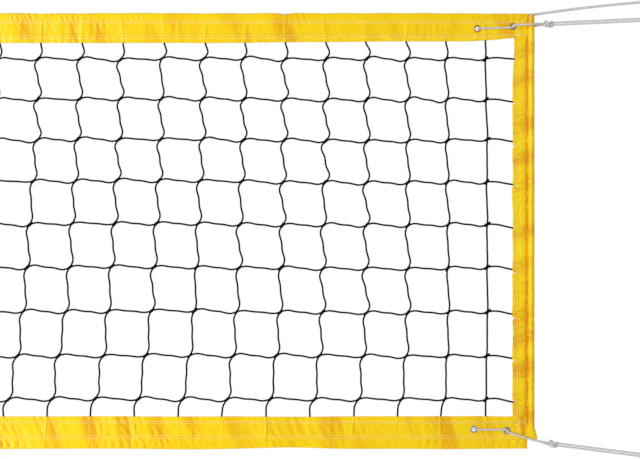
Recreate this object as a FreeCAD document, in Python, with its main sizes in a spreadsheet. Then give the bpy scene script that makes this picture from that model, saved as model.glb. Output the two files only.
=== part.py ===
"""Competition beach volleyball net with side poles in its end sleeves, millimetres, +Z up.

The origin is the middle of the net's top edge. +X runs along the net, and +Y points to its back.
The right-hand end is modelled, and the left-hand end is its mirror image.
"""
import FreeCAD, Part
import math
import os

import Sketcher
from FreeCAD import Placement, Rotation, Vector

SIZES = {
    # The whole net
    "net_length": 8500,
    "net_height": 1023,
    "cloth": 1.0,
    "seat_gap": 0.3,
    # Mesh of knotted cord: the crossing cords share the cord's thickness
    "cord_width": 3.0,
    "mesh_columns": 85,
    "mesh_rows": 9,
    "first_row_drop": 38,
    "last_row_rise": 39,
    "first_column_gap": 64,
    "column_lean": 130,
    # Bands of doubled cloth, forked where they take the cords
    "top_band_height": 70,
    "bottom_band_height": 76,
    "tunnel_height": 20,
    "top_pocket": 17,
    "bottom_pocket": 14,
    "side_pocket": 12,
    "fork_taper": 4,
    "hem_fold": 1.6,
    "hem_height": 26,
    # Side band and its pole sleeve
    "flap_width": 35,
    "band_end_inset": 17,
    "sleeve_top_drop": 5,
    "sleeve_foot_rise": 51,
    "sleeve_tip_length": 28,
    "sleeve_tip_width": 20,
    "sleeve_tip_thickness": 3,
    "sleeve_tip_shift": 5,
    # Side pole: a glass-fibre tube with a moulded cap in each end
    "pole_diameter": 13,
    "pole_wall": 1.6,
    "pole_top_recess": 4,
    "cap_head": 4,
    "cap_plug": 15,
    "cap_fit": 0.1,
    # Eyelets, two at each corner, pressed together with a washer behind the cloth
    "eyelet_bore": 10.4,
    "eyelet_flange": 18,
    "eyelet_wall": 0.5,
    "eyelet_fit": 0.2,
    "flange_thickness": 0.8,
    "lip_width": 0.9,
    "lip_thickness": 0.5,
    "top_outer_inset": 51,
    "top_outer_clear": 3,
    "top_inner_inset": 134,
    "top_inner_clear": 3,
    "bottom_outer_inset": 64.5,
    "bottom_outer_clear": 6,
    "bottom_inner_inset": 142,
    "bottom_inner_clear": 3,
    # Ropes
    "cable_diameter": 6,
    "cable_exit_inset": 70,
    "cable_exit_height": 10.5,
    "cable_lead": 14,
    "cable_swing_inset": 6,
    "cable_slope_out": 60,
    "cable_slope_rise": 11,
    "cable_bow_out": 135,
    "cable_bow_rise": 20.2,
    "cable_last_run": 57,
    "lace_diameter": 4.4,
    "lace_spacing": 4.8,
    "lace_slack": 1.8,
    "tether_spacing": 5.6,
    "loop_length": 24,
    "loop_width": 20,
    "loop_neck": 12,
    "knot_length": 28,
    "knot_girth": 19,
    "knot_end": 11.5,
    "cable_knot_end": 14,
    "knot_lead": 6,
    "tether_end": 300,
    "top_knot_out": 31,
    "top_knot_drop": 26,
    "top_tether_angle": 2.6,
    "bottom_knot_out": 42,
    "bottom_knot_rise": 12,
    "bottom_tether_angle": -7.3,
    "cable_knot_out": 276,
    "cable_knot_height": 29,
    "cable_tail_angle": 4.8,
}

# Flat sides of a rope's tube, and of what repeats: the eyelets, their washers and holes, the knots
ROPE_SIDES = 6
SMALL_SIDES = 12
# Share of a rope's shorter run that an arc takes up
RUN_SHARE = 0.45
# A knot's outline: places along it as shares of its half length, with how much of the swelling
# from its ends to its girth is reached there. Its two turns of rope are the two full places
KNOT_OUTLINE = (
    (-1, 0),
    (-0.8, 0.67),
    (-0.4, 1),
    (0, 0.67),
    (0.4, 1),
    (0.8, 0.67),
    (1, 0),
)

doc = FreeCAD.newDocument("volleyball_net")
sheet = doc.addObject("Spreadsheet::Sheet", "Sizes")
nodes = {}


def fill_sheet():
    """Puts each driving dimension in a cell of its own, named by its alias."""
    for row, (name, value) in enumerate(SIZES.items(), start=1):
        sheet.set(f"A{row}", name)
        sheet.set(f"B{row}", str(value))
        sheet.setAlias(f"B{row}", name)
    doc.recompute()


def size(name):
    """One driving dimension, read from the sheet."""
    return float(sheet.get(name))


def number(text):
    """The value of an expression on the sheet's cells."""
    return float(doc.getObject("Sizes").evalExpression(text))


def bind(thing, **expressions):
    """Ties an object's properties to expressions on the sheet."""
    for name, text in expressions.items():
        thing.setExpression(name, text)


def keep(label, thing):
    """Registers a finished sub-part under the name of its node."""
    thing.Label = label
    nodes[label] = thing
    return thing


def new_body(name):
    return doc.addObject("PartDesign::Body", name)


def new_sketch(body, name, role, offset=None):
    """A sketch on one of the body's origin planes, moved along the plane's normal by offset."""
    sketch = body.newObject("Sketcher::SketchObject", name)
    plane = next(f for f in body.Origin.OriginFeatures if f.Role == role)
    sketch.AttachmentSupport = [(plane, "")]
    sketch.MapMode = "FlatFace"
    if offset:
        sketch.setExpression("AttachmentOffset.Base.z", offset)
    return sketch


def fix_point(sketch, edge, end, corner):
    """Holds one point of a sketch at a corner given as two expressions."""
    for kind, text in zip(("DistanceX", "DistanceY"), corner):
        index = sketch.addConstraint(Sketcher.Constraint(kind, -1, 1, edge, end, number(text)))
        sketch.setExpression(f"Constraints[{index}]", text)


def outline(sketch, corners, arcs=None):
    """Draws a closed outline through the corners.

    arcs gives, for an edge that is a half round over a level chord, the height of its centre.
    It then runs clockwise from its first corner to the next.
    """
    arcs = arcs or {}
    points = [Vector(number(x), number(y), 0) for x, y in corners]
    first = sketch.GeometryCount
    ends = []
    for i, start in enumerate(points):
        stop = points[(i + 1) % len(points)]
        if i in arcs:
            centre = Vector((start.x + stop.x) / 2, number(arcs[i]), 0)
            whole = Part.Circle(centre, Vector(0, 0, 1), (start - centre).Length)
            a0, a1 = (math.atan2(p.y - centre.y, p.x - centre.x) for p in (stop, start))
            sketch.addGeometry(Part.ArcOfCircle(whole, a0, a1))
            ends.append((2, 1))
        else:
            sketch.addGeometry(Part.LineSegment(start, stop))
            ends.append((1, 2))
    for i in range(len(points)):
        after = (i + 1) % len(points)
        joined = Sketcher.Constraint(
            "Coincident", first + i, ends[i][1], first + after, ends[after][0]
        )
        sketch.addConstraint(joined)
    for i, corner in enumerate(corners):
        fix_point(sketch, first + i, ends[i][0], corner)
    for i, height in arcs.items():
        held = Sketcher.Constraint("DistanceY", -1, 1, first + i, 3, number(height))
        sketch.setExpression(f"Constraints[{sketch.addConstraint(held)}]", height)


def circle(sketch, x, y, diameter):
    """Draws a circle about a centre given as two expressions."""
    centre = Vector(number(x), number(y), 0)
    radius = number(f"({diameter}) / 2")
    edge = sketch.addGeometry(Part.Circle(centre, Vector(0, 0, 1), radius))
    fix_point(sketch, edge, 3, (x, y))
    index = sketch.addConstraint(Sketcher.Constraint("Diameter", edge, 2 * radius))
    sketch.setExpression(f"Constraints[{index}]", diameter)


def pad(body, name, sketch, length, middle=False):
    """Pads a sketch, to both sides of its plane alike where middle is set."""
    made = body.newObject("PartDesign::Pad", name)
    made.Profile = sketch
    made.Midplane = middle
    bind(made, Length=length)
    doc.recompute()
    return made


def through(body, name, sketch, both_sides=True):
    """Cuts a sketch right through, to both sides of its plane or only to its back."""
    before = body.Shape.Volume
    made = body.newObject("PartDesign::Pocket", name)
    made.Profile = sketch
    made.Type = "ThroughAll"
    made.Midplane = both_sides
    doc.recompute()
    if body.Shape.Volume >= before:
        raise RuntimeError(f"{name} cuts nothing")
    return made


def revolve(body, name, sketch, axis):
    """Turns a sketch once round one of its own axes."""
    made = body.newObject("PartDesign::Revolution", name)
    made.Profile = sketch
    made.ReferenceAxis = (sketch, [axis])
    made.Angle = 360
    doc.recompute()
    return made


def mirrored(source, name):
    """The same piece at the left-hand end of the net."""
    made = doc.addObject("Part::Mirroring", name)
    made.Source = source
    made.Base = Vector(0, 0, 0)
    made.Normal = Vector(1, 0, 0)
    return made


def both_ends(label, source):
    """Registers a right-hand piece and its mirror image on the left."""
    keep(f"{label}_right", source)
    keep(f"{label}_left", mirrored(source, f"{label}_mirror"))


def group(label, pieces):
    """Registers several like pieces as one node."""
    made = doc.addObject("Part::Compound", label)
    made.Links = pieces
    return keep(label, made)


FORK_IN = "(Sizes.cord_width / 2 + Sizes.seat_gap)"
FORK_OUT = f"({FORK_IN} + Sizes.cloth)"
TUNNEL_IN = "(Sizes.cable_diameter / 2 + Sizes.seat_gap)"
TUNNEL_OUT = f"({TUNNEL_IN} + Sizes.cloth)"
BAND_END = "(Sizes.net_length / 2 - Sizes.band_end_inset)"
SLEEVE_BORE = "(Sizes.pole_diameter + 2 * Sizes.seat_gap)"
SLEEVE_OUT = f"({SLEEVE_BORE} + 2 * Sizes.cloth)"
SLEEVE_X = f"(Sizes.net_length / 2 - {SLEEVE_OUT} / 2)"
SLEEVE_FOOT = "(Sizes.net_height - Sizes.sleeve_foot_rise)"
MESH_TOP = "(Sizes.top_band_height + Sizes.first_row_drop)"
MESH_FOOT = "(Sizes.net_height - Sizes.bottom_band_height - Sizes.last_row_rise)"
BARREL_OUT = "(Sizes.eyelet_bore / 2 + Sizes.eyelet_wall)"
EYELET_HOLE = f"({BARREL_OUT} + Sizes.eyelet_fit)"
# The flat cloth that takes a band's eyelets lies between its seam and its fork's taper
TOP_SEAM = "-Sizes.tunnel_height"
TOP_TAPER = "(Sizes.top_pocket + Sizes.fork_taper - Sizes.top_band_height)"
BOTTOM_TAPER = (
    "(Sizes.bottom_band_height - Sizes.bottom_pocket - Sizes.fork_taper - Sizes.net_height)"
)
TOP_EYELETS = (
    ("Sizes.top_outer_inset", f"{TOP_SEAM} - Sizes.eyelet_flange / 2 - Sizes.top_outer_clear"),
    ("Sizes.top_inner_inset", f"{TOP_TAPER} + Sizes.eyelet_flange / 2 + Sizes.top_inner_clear"),
)
BOTTOM_EYELETS = (
    (
        "Sizes.bottom_outer_inset",
        f"{BOTTOM_TAPER} - Sizes.eyelet_flange / 2 - Sizes.bottom_outer_clear",
    ),
    (
        "Sizes.bottom_inner_inset",
        f"{BOTTOM_TAPER} - Sizes.eyelet_flange / 2 - Sizes.bottom_inner_clear",
    ),
)


def oval_corners(x, y, wide, deep):
    """Corners of a many-sided oval about a centre, with its half width and half depth."""
    angles = [360 * side / SMALL_SIDES for side in range(SMALL_SIDES)]
    return [(f"{x} + {wide} * cos({a} deg)", f"{y} + {deep} * sin({a} deg)") for a in angles]


def eyelet_holes(body, places):
    """Cuts the eyelets' holes at both ends of a band."""
    sketch = new_sketch(body, f"{body.Name}_holes", "XZ_Plane")
    for inset, height in places:
        for side in ("", "-"):
            centre = f"{side}(Sizes.net_length / 2 - {inset})"
            outline(sketch, oval_corners(centre, height, EYELET_HOLE, EYELET_HOLE))
    through(body, f"{body.Name}_eyelet_holes", sketch)


def top_band():
    """Cloth folded round the cable tunnel, with a fork below that takes the upright cords."""
    body = new_body("top_band")
    floor = "-(Sizes.top_band_height - Sizes.top_pocket)"
    level = f"-{TUNNEL_OUT}"
    profile = new_sketch(body, "top_profile", "YZ_Plane")
    outline(
        profile,
        [
            (f"-{TUNNEL_OUT}", level),
            (TUNNEL_OUT, level),
            ("Sizes.cloth", TOP_SEAM),
            ("Sizes.cloth", TOP_TAPER),
            (FORK_OUT, floor),
            (FORK_OUT, "-Sizes.top_band_height"),
            (FORK_IN, "-Sizes.top_band_height"),
            (FORK_IN, floor),
            (f"-{FORK_IN}", floor),
            (f"-{FORK_IN}", "-Sizes.top_band_height"),
            (f"-{FORK_OUT}", "-Sizes.top_band_height"),
            (f"-{FORK_OUT}", floor),
            ("-Sizes.cloth", TOP_TAPER),
            ("-Sizes.cloth", TOP_SEAM),
        ],
        {0: level},
    )
    outline(
        profile,
        [
            (f"-{TUNNEL_IN}", level),
            (TUNNEL_IN, level),
            ("0", "-(Sizes.tunnel_height - 3 * Sizes.cloth)"),
        ],
        {0: level},
    )
    pad(body, "top_cloth", profile, f"2 * {BAND_END}", middle=True)
    eyelet_holes(body, TOP_EYELETS)
    exits = new_sketch(body, "cable_exit_windows", "XZ_Plane")
    start = "(Sizes.net_length / 2 - Sizes.cable_exit_inset)"
    for side in ("", "-"):
        outline(
            exits,
            [
                (f"{side}{start}", "-Sizes.cable_exit_height"),
                (f"{side}Sizes.net_length / 2", "-Sizes.cable_exit_height"),
                (f"{side}Sizes.net_length / 2", "Sizes.cloth"),
                (f"{side}{start}", "Sizes.cloth"),
            ],
        )
    through(body, "cable_exits", exits, both_sides=False)
    keep("top_band", body)


def bottom_band():
    """Cloth folded up from a flat hem, with a fork above that takes the upright cords."""
    body = new_body("bottom_band")
    top = "Sizes.bottom_band_height - Sizes.net_height"
    floor = f"{top} - Sizes.bottom_pocket"
    foot = "-Sizes.net_height"
    seam = f"{foot} + Sizes.hem_height"
    fold = f"{foot} + Sizes.hem_fold"
    profile = new_sketch(body, "bottom_profile", "YZ_Plane")
    outline(
        profile,
        [
            (f"-{FORK_OUT}", top),
            (f"-{FORK_IN}", top),
            (f"-{FORK_IN}", floor),
            (FORK_IN, floor),
            (FORK_IN, top),
            (FORK_OUT, top),
            (FORK_OUT, floor),
            ("Sizes.cloth", BOTTOM_TAPER),
            ("Sizes.cloth", seam),
            ("Sizes.hem_fold", fold),
            ("-Sizes.hem_fold", fold),
            ("-Sizes.cloth", seam),
            ("-Sizes.cloth", BOTTOM_TAPER),
            (f"-{FORK_OUT}", floor),
        ],
        {9: fold},
    )
    pad(body, "bottom_cloth", profile, f"2 * {BAND_END}", middle=True)
    eyelet_holes(body, BOTTOM_EYELETS)
    keep("bottom_band", body)


def side_band():
    """Flap that takes the ends of the level cords, sewn to a pole sleeve with a closed tip."""
    body = new_body("side_band")
    edge = f"({BAND_END} - Sizes.flap_width)"
    floor = f"{edge} + Sizes.side_pocket"
    seam = f"{floor} + Sizes.fork_taper"
    into_sleeve = f"{SLEEVE_X} - {SLEEVE_BORE} / 2 - Sizes.cloth / 2"
    sleeve = new_sketch(body, "sleeve_profile", "XY_Plane", f"-{SLEEVE_FOOT}")
    circle(sleeve, SLEEVE_X, "0", SLEEVE_OUT)
    circle(sleeve, SLEEVE_X, "0", SLEEVE_BORE)
    pad(body, "sleeve", sleeve, f"{SLEEVE_FOOT} - Sizes.sleeve_top_drop")
    stem = new_sketch(body, "stem_profile", "XY_Plane", f"-{SLEEVE_FOOT}")
    outline(
        stem,
        [
            (BAND_END, "-Sizes.cloth"),
            (into_sleeve, "-Sizes.cloth"),
            (into_sleeve, "Sizes.cloth"),
            (BAND_END, "Sizes.cloth"),
        ],
    )
    pad(body, "stem", stem, f"{SLEEVE_FOOT} - Sizes.tunnel_height")
    flap = new_sketch(
        body, "flap_profile", "XY_Plane", "Sizes.bottom_band_height - Sizes.net_height"
    )
    outline(
        flap,
        [
            (edge, f"-{FORK_OUT}"),
            (floor, f"-{FORK_OUT}"),
            (seam, "-Sizes.cloth"),
            (into_sleeve, "-Sizes.cloth"),
            (into_sleeve, "Sizes.cloth"),
            (seam, "Sizes.cloth"),
            (floor, FORK_OUT),
            (edge, FORK_OUT),
            (edge, FORK_IN),
            (floor, FORK_IN),
            (floor, f"-{FORK_IN}"),
            (edge, f"-{FORK_IN}"),
        ],
    )
    height = "Sizes.net_height - Sizes.top_band_height - Sizes.bottom_band_height"
    pad(body, "flap", flap, height)
    sleeve_tip(body)
    both_ends("side_band", body)


def sleeve_tip(body):
    """The sleeve's foot: it closes and widens from the round sleeve to a sewn-flat edge."""
    half = f"{SLEEVE_OUT} / 2"
    top = new_sketch(body, "tip_top", "XY_Plane", f"-{SLEEVE_FOOT}")
    outline(top, oval_corners(SLEEVE_X, "0", half, half))
    foot = new_sketch(body, "tip_foot", "XY_Plane", f"-({SLEEVE_FOOT} + Sizes.sleeve_tip_length)")
    centre = f"({SLEEVE_X} + Sizes.sleeve_tip_shift)"
    wide, deep = "Sizes.sleeve_tip_width / 2", "Sizes.sleeve_tip_thickness / 2"
    outline(foot, oval_corners(centre, "0", wide, deep))
    tip = body.newObject("PartDesign::AdditiveLoft", "sleeve_tip")
    tip.Profile = top
    tip.Sections = [foot]
    tip.Ruled = True
    doc.recompute()


CLOTH_BACK = "(Sizes.cloth + Sizes.flange_thickness)"


def disc(name, place, radius, front, depth):
    """A many-sided disc about an eyelet's axis, from the depth front on towards the back."""
    inset, height = place
    made = doc.addObject("Part::Prism", name)
    made.Polygon = SMALL_SIDES
    made.Placement = Placement(Vector(0, 0, 0), Rotation(Vector(1, 0, 0), -90))
    bind(made, Circumradius=radius, Height=depth)
    made.setExpression("Placement.Base.x", f"Sizes.net_length / 2 - {inset}")
    made.setExpression("Placement.Base.y", front)
    made.setExpression("Placement.Base.z", height)
    return made


def bored(name, solid, bore):
    """A solid with a bore cut out of it."""
    made = doc.addObject("Part::Cut", name)
    made.Base = solid
    made.Tool = bore
    return made


def eyelet_shell(name, place):
    """Front flange and barrel in one, with the barrel's end rolled outward over the washer."""
    length = f"2 * {CLOTH_BACK} + Sizes.lip_thickness"
    flange = disc(
        f"{name}_flange", place, "Sizes.eyelet_flange / 2", f"-{CLOTH_BACK}", "Sizes.flange_thickness"
    )
    barrel = disc(f"{name}_barrel", place, BARREL_OUT, f"-{CLOTH_BACK}", length)
    lip = disc(
        f"{name}_lip", place, f"{BARREL_OUT} + Sizes.lip_width", CLOTH_BACK, "Sizes.lip_thickness"
    )
    whole = doc.addObject("Part::MultiFuse", f"{name}_whole")
    whole.Shapes = [flange, barrel, lip]
    bore = disc(f"{name}_bore", place, "Sizes.eyelet_bore / 2", f"-{CLOTH_BACK}", length)
    return bored(name, whole, bore)


def eyelet_washer(name, place):
    """Flat ring behind the cloth, round the eyelet's barrel."""
    ring = disc(
        f"{name}_ring", place, "Sizes.eyelet_flange / 2", "Sizes.cloth", "Sizes.flange_thickness"
    )
    hole = disc(f"{name}_hole", place, EYELET_HOLE, "Sizes.cloth", "Sizes.flange_thickness")
    return bored(name, ring, hole)


def eyelets(band, places):
    """The eyelets of one band and their washers, at both ends of the net."""
    for label, make in ((f"{band}_eyelets", eyelet_shell), (f"{band}_eyelet_washers", eyelet_washer)):
        pieces = []
        for spot, place in zip(("outer", "inner"), places):
            piece = make(f"{label}_{spot}", place)
            pieces += [piece, mirrored(piece, f"{label}_{spot}_mirror")]
        group(label, pieces)


def cylinder(name, diameter, length, foot):
    """A cylinder on the sleeve's axis, standing at the height foot."""
    made = doc.addObject("Part::Cylinder", name)
    bind(made, Radius=f"({diameter}) / 2", Height=length)
    made.setExpression("Placement.Base.x", SLEEVE_X)
    made.setExpression("Placement.Base.z", foot)
    return made


POLE_TOP = "(Sizes.sleeve_top_drop + Sizes.pole_top_recess)"
TUBE_LENGTH = f"({SLEEVE_FOOT} - {POLE_TOP} - 2 * Sizes.cap_head)"
TUBE_FOOT = f"(Sizes.cap_head - {SLEEVE_FOOT})"


def side_pole():
    """Glass-fibre tube that stands in the sleeve."""
    outer = cylinder("pole_outside", "Sizes.pole_diameter", TUBE_LENGTH, TUBE_FOOT)
    inner = "Sizes.pole_diameter - 2 * Sizes.pole_wall"
    bore = cylinder("pole_bore", inner, TUBE_LENGTH, TUBE_FOOT)
    both_ends("side_pole", bored("side_pole", outer, bore))


def pole_cap(name, up):
    """Moulded plug with a head as wide as the pole, for one end of the pole."""
    body = new_body(name)
    radius = "Sizes.pole_diameter / 2"
    plug = f"{radius} - Sizes.pole_wall - Sizes.cap_fit"
    sign = "" if up else "-"
    sketch = new_sketch(body, f"{name}_section", "XZ_Plane")
    outline(
        sketch,
        [
            ("0", f"-({sign}Sizes.cap_plug)"),
            (plug, f"-({sign}Sizes.cap_plug)"),
            (plug, "0"),
            (radius, "0"),
            (radius, f"{sign}Sizes.cap_head"),
            ("0", f"{sign}Sizes.cap_head"),
        ],
    )
    revolve(body, f"{name}_turned", sketch, "V_Axis")
    body.setExpression("Placement.Base.x", SLEEVE_X)
    height = f"{TUBE_FOOT} + {TUBE_LENGTH}" if up else TUBE_FOOT
    body.setExpression("Placement.Base.z", height)
    return body


def pole_caps():
    """Both caps of each pole."""
    caps = [pole_cap("pole_top_cap", True), pole_cap("pole_foot_cap", False)]
    group("pole_caps_right", caps)
    group("pole_caps_left", [mirrored(cap, f"{cap.Name}_mirror") for cap in caps])


def level_cords():
    """The level cords, from fork to fork, behind the upright ones."""
    length = f"2 * ({BAND_END} - Sizes.flap_width + Sizes.side_pocket)"
    pitch = f"({MESH_FOOT} - {MESH_TOP}) / (Sizes.mesh_rows - 1)"
    cords = []
    for row in range(round(size("mesh_rows"))):
        cord = doc.addObject("Part::Box", f"level_cord_{row + 1}")
        bind(cord, Length=length, Width="Sizes.cord_width / 2", Height="Sizes.cord_width")
        cord.setExpression("Placement.Base.x", f"-({length}) / 2")
        height = f"-({MESH_TOP} + {row} * {pitch})"
        cord.setExpression("Placement.Base.z", f"{height} - Sizes.cord_width / 2")
        cords.append(cord)
    group("mesh_level_cords", cords)


def column_places():
    """Top and foot of each upright cord along X.

    The lean grows from nothing at each end of the net and fades again towards its middle.
    """
    columns = round(size("mesh_columns"))
    reach = number(f"{BAND_END} - Sizes.flap_width - Sizes.first_column_gap")
    places = []
    for column in range(columns):
        along = 2 * column / (columns - 1) - 1
        lean = size("column_lean") * math.sin(math.pi * along)
        places.append((reach * along + lean / 2, reach * along - lean / 2))
    return places


def upright_cords():
    """The upright cords, from the top band's fork to the bottom band's, in front of the level ones."""
    top = -(size("top_band_height") - size("top_pocket"))
    foot = size("bottom_band_height") - size("bottom_pocket") - size("net_height")
    half = size("cord_width") / 2
    cords = []
    for x_top, x_foot in column_places():
        corners = [
            Vector(x_foot - half, -half, foot),
            Vector(x_foot + half, -half, foot),
            Vector(x_top + half, -half, top),
            Vector(x_top - half, -half, top),
        ]
        cords.append(flat_face(corners).extrude(Vector(0, half, 0)))
    made = doc.addObject("Part::Feature", "mesh_upright_cords")
    made.Shape = Part.makeCompound(cords)
    keep("mesh_upright_cords", made)


def rope_path(points):
    """Straight runs joined by tangent arcs, each as large as its two runs allow, and the arcs' radii."""
    edges, radii = [], []
    start = points[0]
    for before, corner, after in zip(points, points[1:], points[2:]):
        back, on = before - corner, after - corner
        turn = math.pi - back.getAngle(on)
        setback = RUN_SHARE * min(back.Length, on.Length)
        radius = setback / math.tan(turn / 2)
        to_back, to_on = Vector(back).normalize(), Vector(on).normalize()
        arc_start, arc_end = corner + to_back * setback, corner + to_on * setback
        inward = (to_back + to_on).normalize()
        middle = corner + inward * (radius / math.cos(turn / 2) - radius)
        edges.append(Part.LineSegment(start, arc_start).toShape())
        edges.append(Part.Arc(arc_start, middle, arc_end).toShape())
        radii.append(radius)
        start = arc_end
    edges.append(Part.LineSegment(start, points[-1]).toShape())
    return Part.Wire(edges), radii


def rope(name, points, diameter):
    """A faceted tube along a rope's route, checked against its section times its length."""
    path, radii = rope_path(points)
    along = (points[1] - points[0]).normalize()
    turn = Rotation(Vector(0, 0, 1), along)
    corners = []
    for side in range(ROPE_SIDES + 1):
        angle = 2 * math.pi * (side + 0.5) / ROPE_SIDES
        spoke = Vector(math.cos(angle), math.sin(angle), 0) * (diameter / 2)
        corners.append(points[0] + turn.multVec(spoke))
    section = Part.makePolygon(corners)
    made = doc.addObject("Part::Feature", name)
    made.Shape = path.makePipeShell([section], True, False)
    expected = Part.Face(section).Area * path.Length
    ratio = made.Shape.Volume / expected
    print(f"{name}: length {path.Length:.1f}, volume over section times length {ratio:.4f}")
    print(f"{name}: arc radii {[round(radius, 1) for radius in radii]}")
    if abs(ratio - 1) > 0.01:
        raise RuntimeError(f"{name} isn't a true tube")
    return made


def direction(angle):
    """Unit vector outward from the net's end, raised by an angle in degrees."""
    return Vector(math.cos(math.radians(angle)), 0, math.sin(math.radians(angle)))


def knot(name, centre, angle, end_diameter):
    """Knot drawn tight on its rope's line: two turns of rope, with a flat face at each end."""
    along = direction(angle)
    up = Vector(-along.z, 0, along.x)
    half = size("knot_length") / 2
    end = size(end_diameter) / 2
    swelling = size("knot_girth") / 2 - end
    rings = []
    for share, swell in KNOT_OUTLINE:
        place = half * share
        radius = end + swelling * swell
        ring = []
        for side in range(SMALL_SIDES):
            turn = 2 * math.pi * side / SMALL_SIDES
            spoke = up * (radius * math.cos(turn)) + Vector(0, radius * math.sin(turn), 0)
            ring.append(centre + along * place + spoke)
        rings.append(ring)
    faces = [flat_face(rings[0]), flat_face(rings[-1])]
    for ring, following in zip(rings, rings[1:]):
        for side in range(SMALL_SIDES):
            after = (side + 1) % SMALL_SIDES
            faces.append(flat_face([ring[side], ring[after], following[after], following[side]]))
    made = doc.addObject("Part::Feature", name)
    made.Shape = Part.makeSolid(Part.makeShell(faces))
    if made.Shape.Volume < 0:
        made.Shape = made.Shape.reversed()
    return made


def flat_face(corners):
    """A flat face with straight edges between its corners."""
    return Part.Face(Part.makePolygon(corners + corners[:1]))


def loop_route(knot_centre, angle, reach):
    """Route of a doubled rope from a knot out to its end loop and back, in the knot's plane."""
    along = direction(angle)
    up = Vector(-along.z, 0, along.x)
    spread = size("tether_spacing") / 2
    wide = size("loop_width") / 2
    near = size("knot_length") / 2
    neck = reach - size("loop_length") - size("loop_neck")
    outline_points = [
        (near, spread),
        (neck, spread),
        (neck + size("loop_neck"), wide),
        (reach, wide),
    ]
    there = [knot_centre + along * a + up * b for a, b in outline_points]
    back = [knot_centre + along * a - up * b for a, b in reversed(outline_points)]
    return there + back


def lacing_route(corner, knot_centre, angle):
    """Route of a corner's lacing, from the knot in front of the sleeve and back to it behind.

    It goes in at the outer eyelet, out at the inner one, in at the outer one again, and the two
    strands in the outer eyelet lie one above the other.
    """
    rope_half = size("lace_diameter") / 2
    flange = size("cloth") + size("flange_thickness") + size("seat_gap") + rope_half
    front, behind = -flange, flange + size("lip_thickness")
    step = Vector(0, 0, size("lace_spacing") / 2 * corner["first_strand"])
    outer, inner = corner["outer"], corner["inner"]
    along = direction(angle)
    face = knot_centre - along * (size("knot_length") / 2)
    apart = Vector(0, size("lace_spacing") / 2, 0)
    lead = along * size("knot_lead")
    crest_out = corner["crest_half"] + size("seat_gap") + rope_half + size("lace_slack")
    crest = corner["crest"]
    return [
        face - apart,
        face - apart - lead,
        crest + Vector(0, -crest_out, 0) + step / 2,
        outer + step + Vector(0, front, 0),
        outer + step + Vector(0, behind, 0),
        inner + Vector(0, behind, 0),
        inner + Vector(0, front, 0),
        outer - step + Vector(0, front, 0),
        outer - step + Vector(0, behind, 0),
        crest + Vector(0, crest_out, 0) - step / 2,
        face + apart - lead,
        face + apart,
    ]


def eyelet_centre(place):
    inset, height = place
    return Vector(number(f"Sizes.net_length / 2 - {inset}"), 0, number(height))


def corner_ropes():
    """At each corner a rope laced through the eyelets, its knot, and its doubled tether."""
    end = size("net_length") / 2
    sleeve_x = number(SLEEVE_X)
    corners = {
        "top": {
            "outer": eyelet_centre(TOP_EYELETS[0]),
            "inner": eyelet_centre(TOP_EYELETS[1]),
            "knot": Vector(end + size("top_knot_out"), 0, -size("top_knot_drop")),
            "angle": size("top_tether_angle"),
            "crest": Vector(sleeve_x, 0, (number(TOP_EYELETS[0][1]) - size("top_knot_drop")) / 2),
            "crest_half": number(SLEEVE_OUT) / 2,
            "first_strand": 1,
        },
        "bottom": {
            "outer": eyelet_centre(BOTTOM_EYELETS[0]),
            "inner": eyelet_centre(BOTTOM_EYELETS[1]),
            "knot": Vector(
                end + size("bottom_knot_out"), 0, size("bottom_knot_rise") - size("net_height")
            ),
            "angle": size("bottom_tether_angle"),
            "crest": Vector(sleeve_x, 0, -number(f"{SLEEVE_FOOT} + Sizes.sleeve_tip_length")),
            "crest_half": size("sleeve_tip_thickness") / 2,
            "first_strand": -1,
        },
    }
    thickness = size("lace_diameter")
    for place, corner in corners.items():
        centre, angle = corner["knot"], corner["angle"]
        lacing = rope(f"{place}_lacing", lacing_route(corner, centre, angle), thickness)
        reach = end + size("tether_end") - centre.x
        tether = rope(f"{place}_tether", loop_route(centre, angle, reach), thickness)
        rope_ends(f"{place}_rope", [lacing, tether])
        both_ends(f"{place}_knot", knot(f"{place}_knot", centre, angle, "knot_end"))


def rope_ends(label, stretches):
    """Registers the stretches of one rope as a node at the right-hand end, and their mirror images."""
    group(f"{label}_right", stretches)
    group(f"{label}_left", [mirrored(piece, f"{piece.Name}_mirror") for piece in stretches])


def top_cable():
    """The cable in the top band's tunnel, its tails behind the sleeves, and their end loops."""
    diameter = size("cable_diameter")
    height = -number(TUNNEL_OUT)
    end = size("net_length") / 2
    inside = end - size("cable_exit_inset")
    clear = number(f"{SLEEVE_OUT} / 2 + Sizes.seat_gap") + diameter / 2 + size("lace_slack")
    straight = doc.addObject("Part::Prism", "top_cable")
    straight.Polygon = ROPE_SIDES
    bind(
        straight,
        Circumradius="Sizes.cable_diameter / 2",
        Height="Sizes.net_length - 2 * Sizes.cable_exit_inset",
    )
    turned = Rotation(Vector(0, 0, 1), Vector(1, 0, 0))
    straight.Placement = Placement(Vector(-inside, 0, height), turned)
    keep("top_cable", straight)
    centre = Vector(end + size("cable_knot_out"), clear, size("cable_knot_height"))
    angle = size("cable_tail_angle")
    along = direction(angle)
    face = centre - along * (size("knot_length") / 2)
    swing = number(f"{SLEEVE_X} - Sizes.cable_swing_inset")
    route = [
        Vector(inside, 0, height),
        Vector(inside + size("cable_lead"), 0, height),
        Vector(swing, clear, height),
        Vector(end + size("cable_slope_out"), clear, height + size("cable_slope_rise")),
        Vector(end + size("cable_bow_out"), clear, height + size("cable_bow_rise")),
        face - along * size("cable_last_run"),
        face,
    ]
    tail = rope("cable_tail", route, diameter)
    reach = size("knot_length") / 2 + size("loop_length") + size("loop_neck") + diameter
    loop = rope("cable_loop", loop_route(centre, angle, reach), diameter)
    rope_ends("cable_tail", [tail, loop])
    both_ends("cable_knot", knot("cable_knot", centre, angle, "cable_knot_end"))


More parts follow.
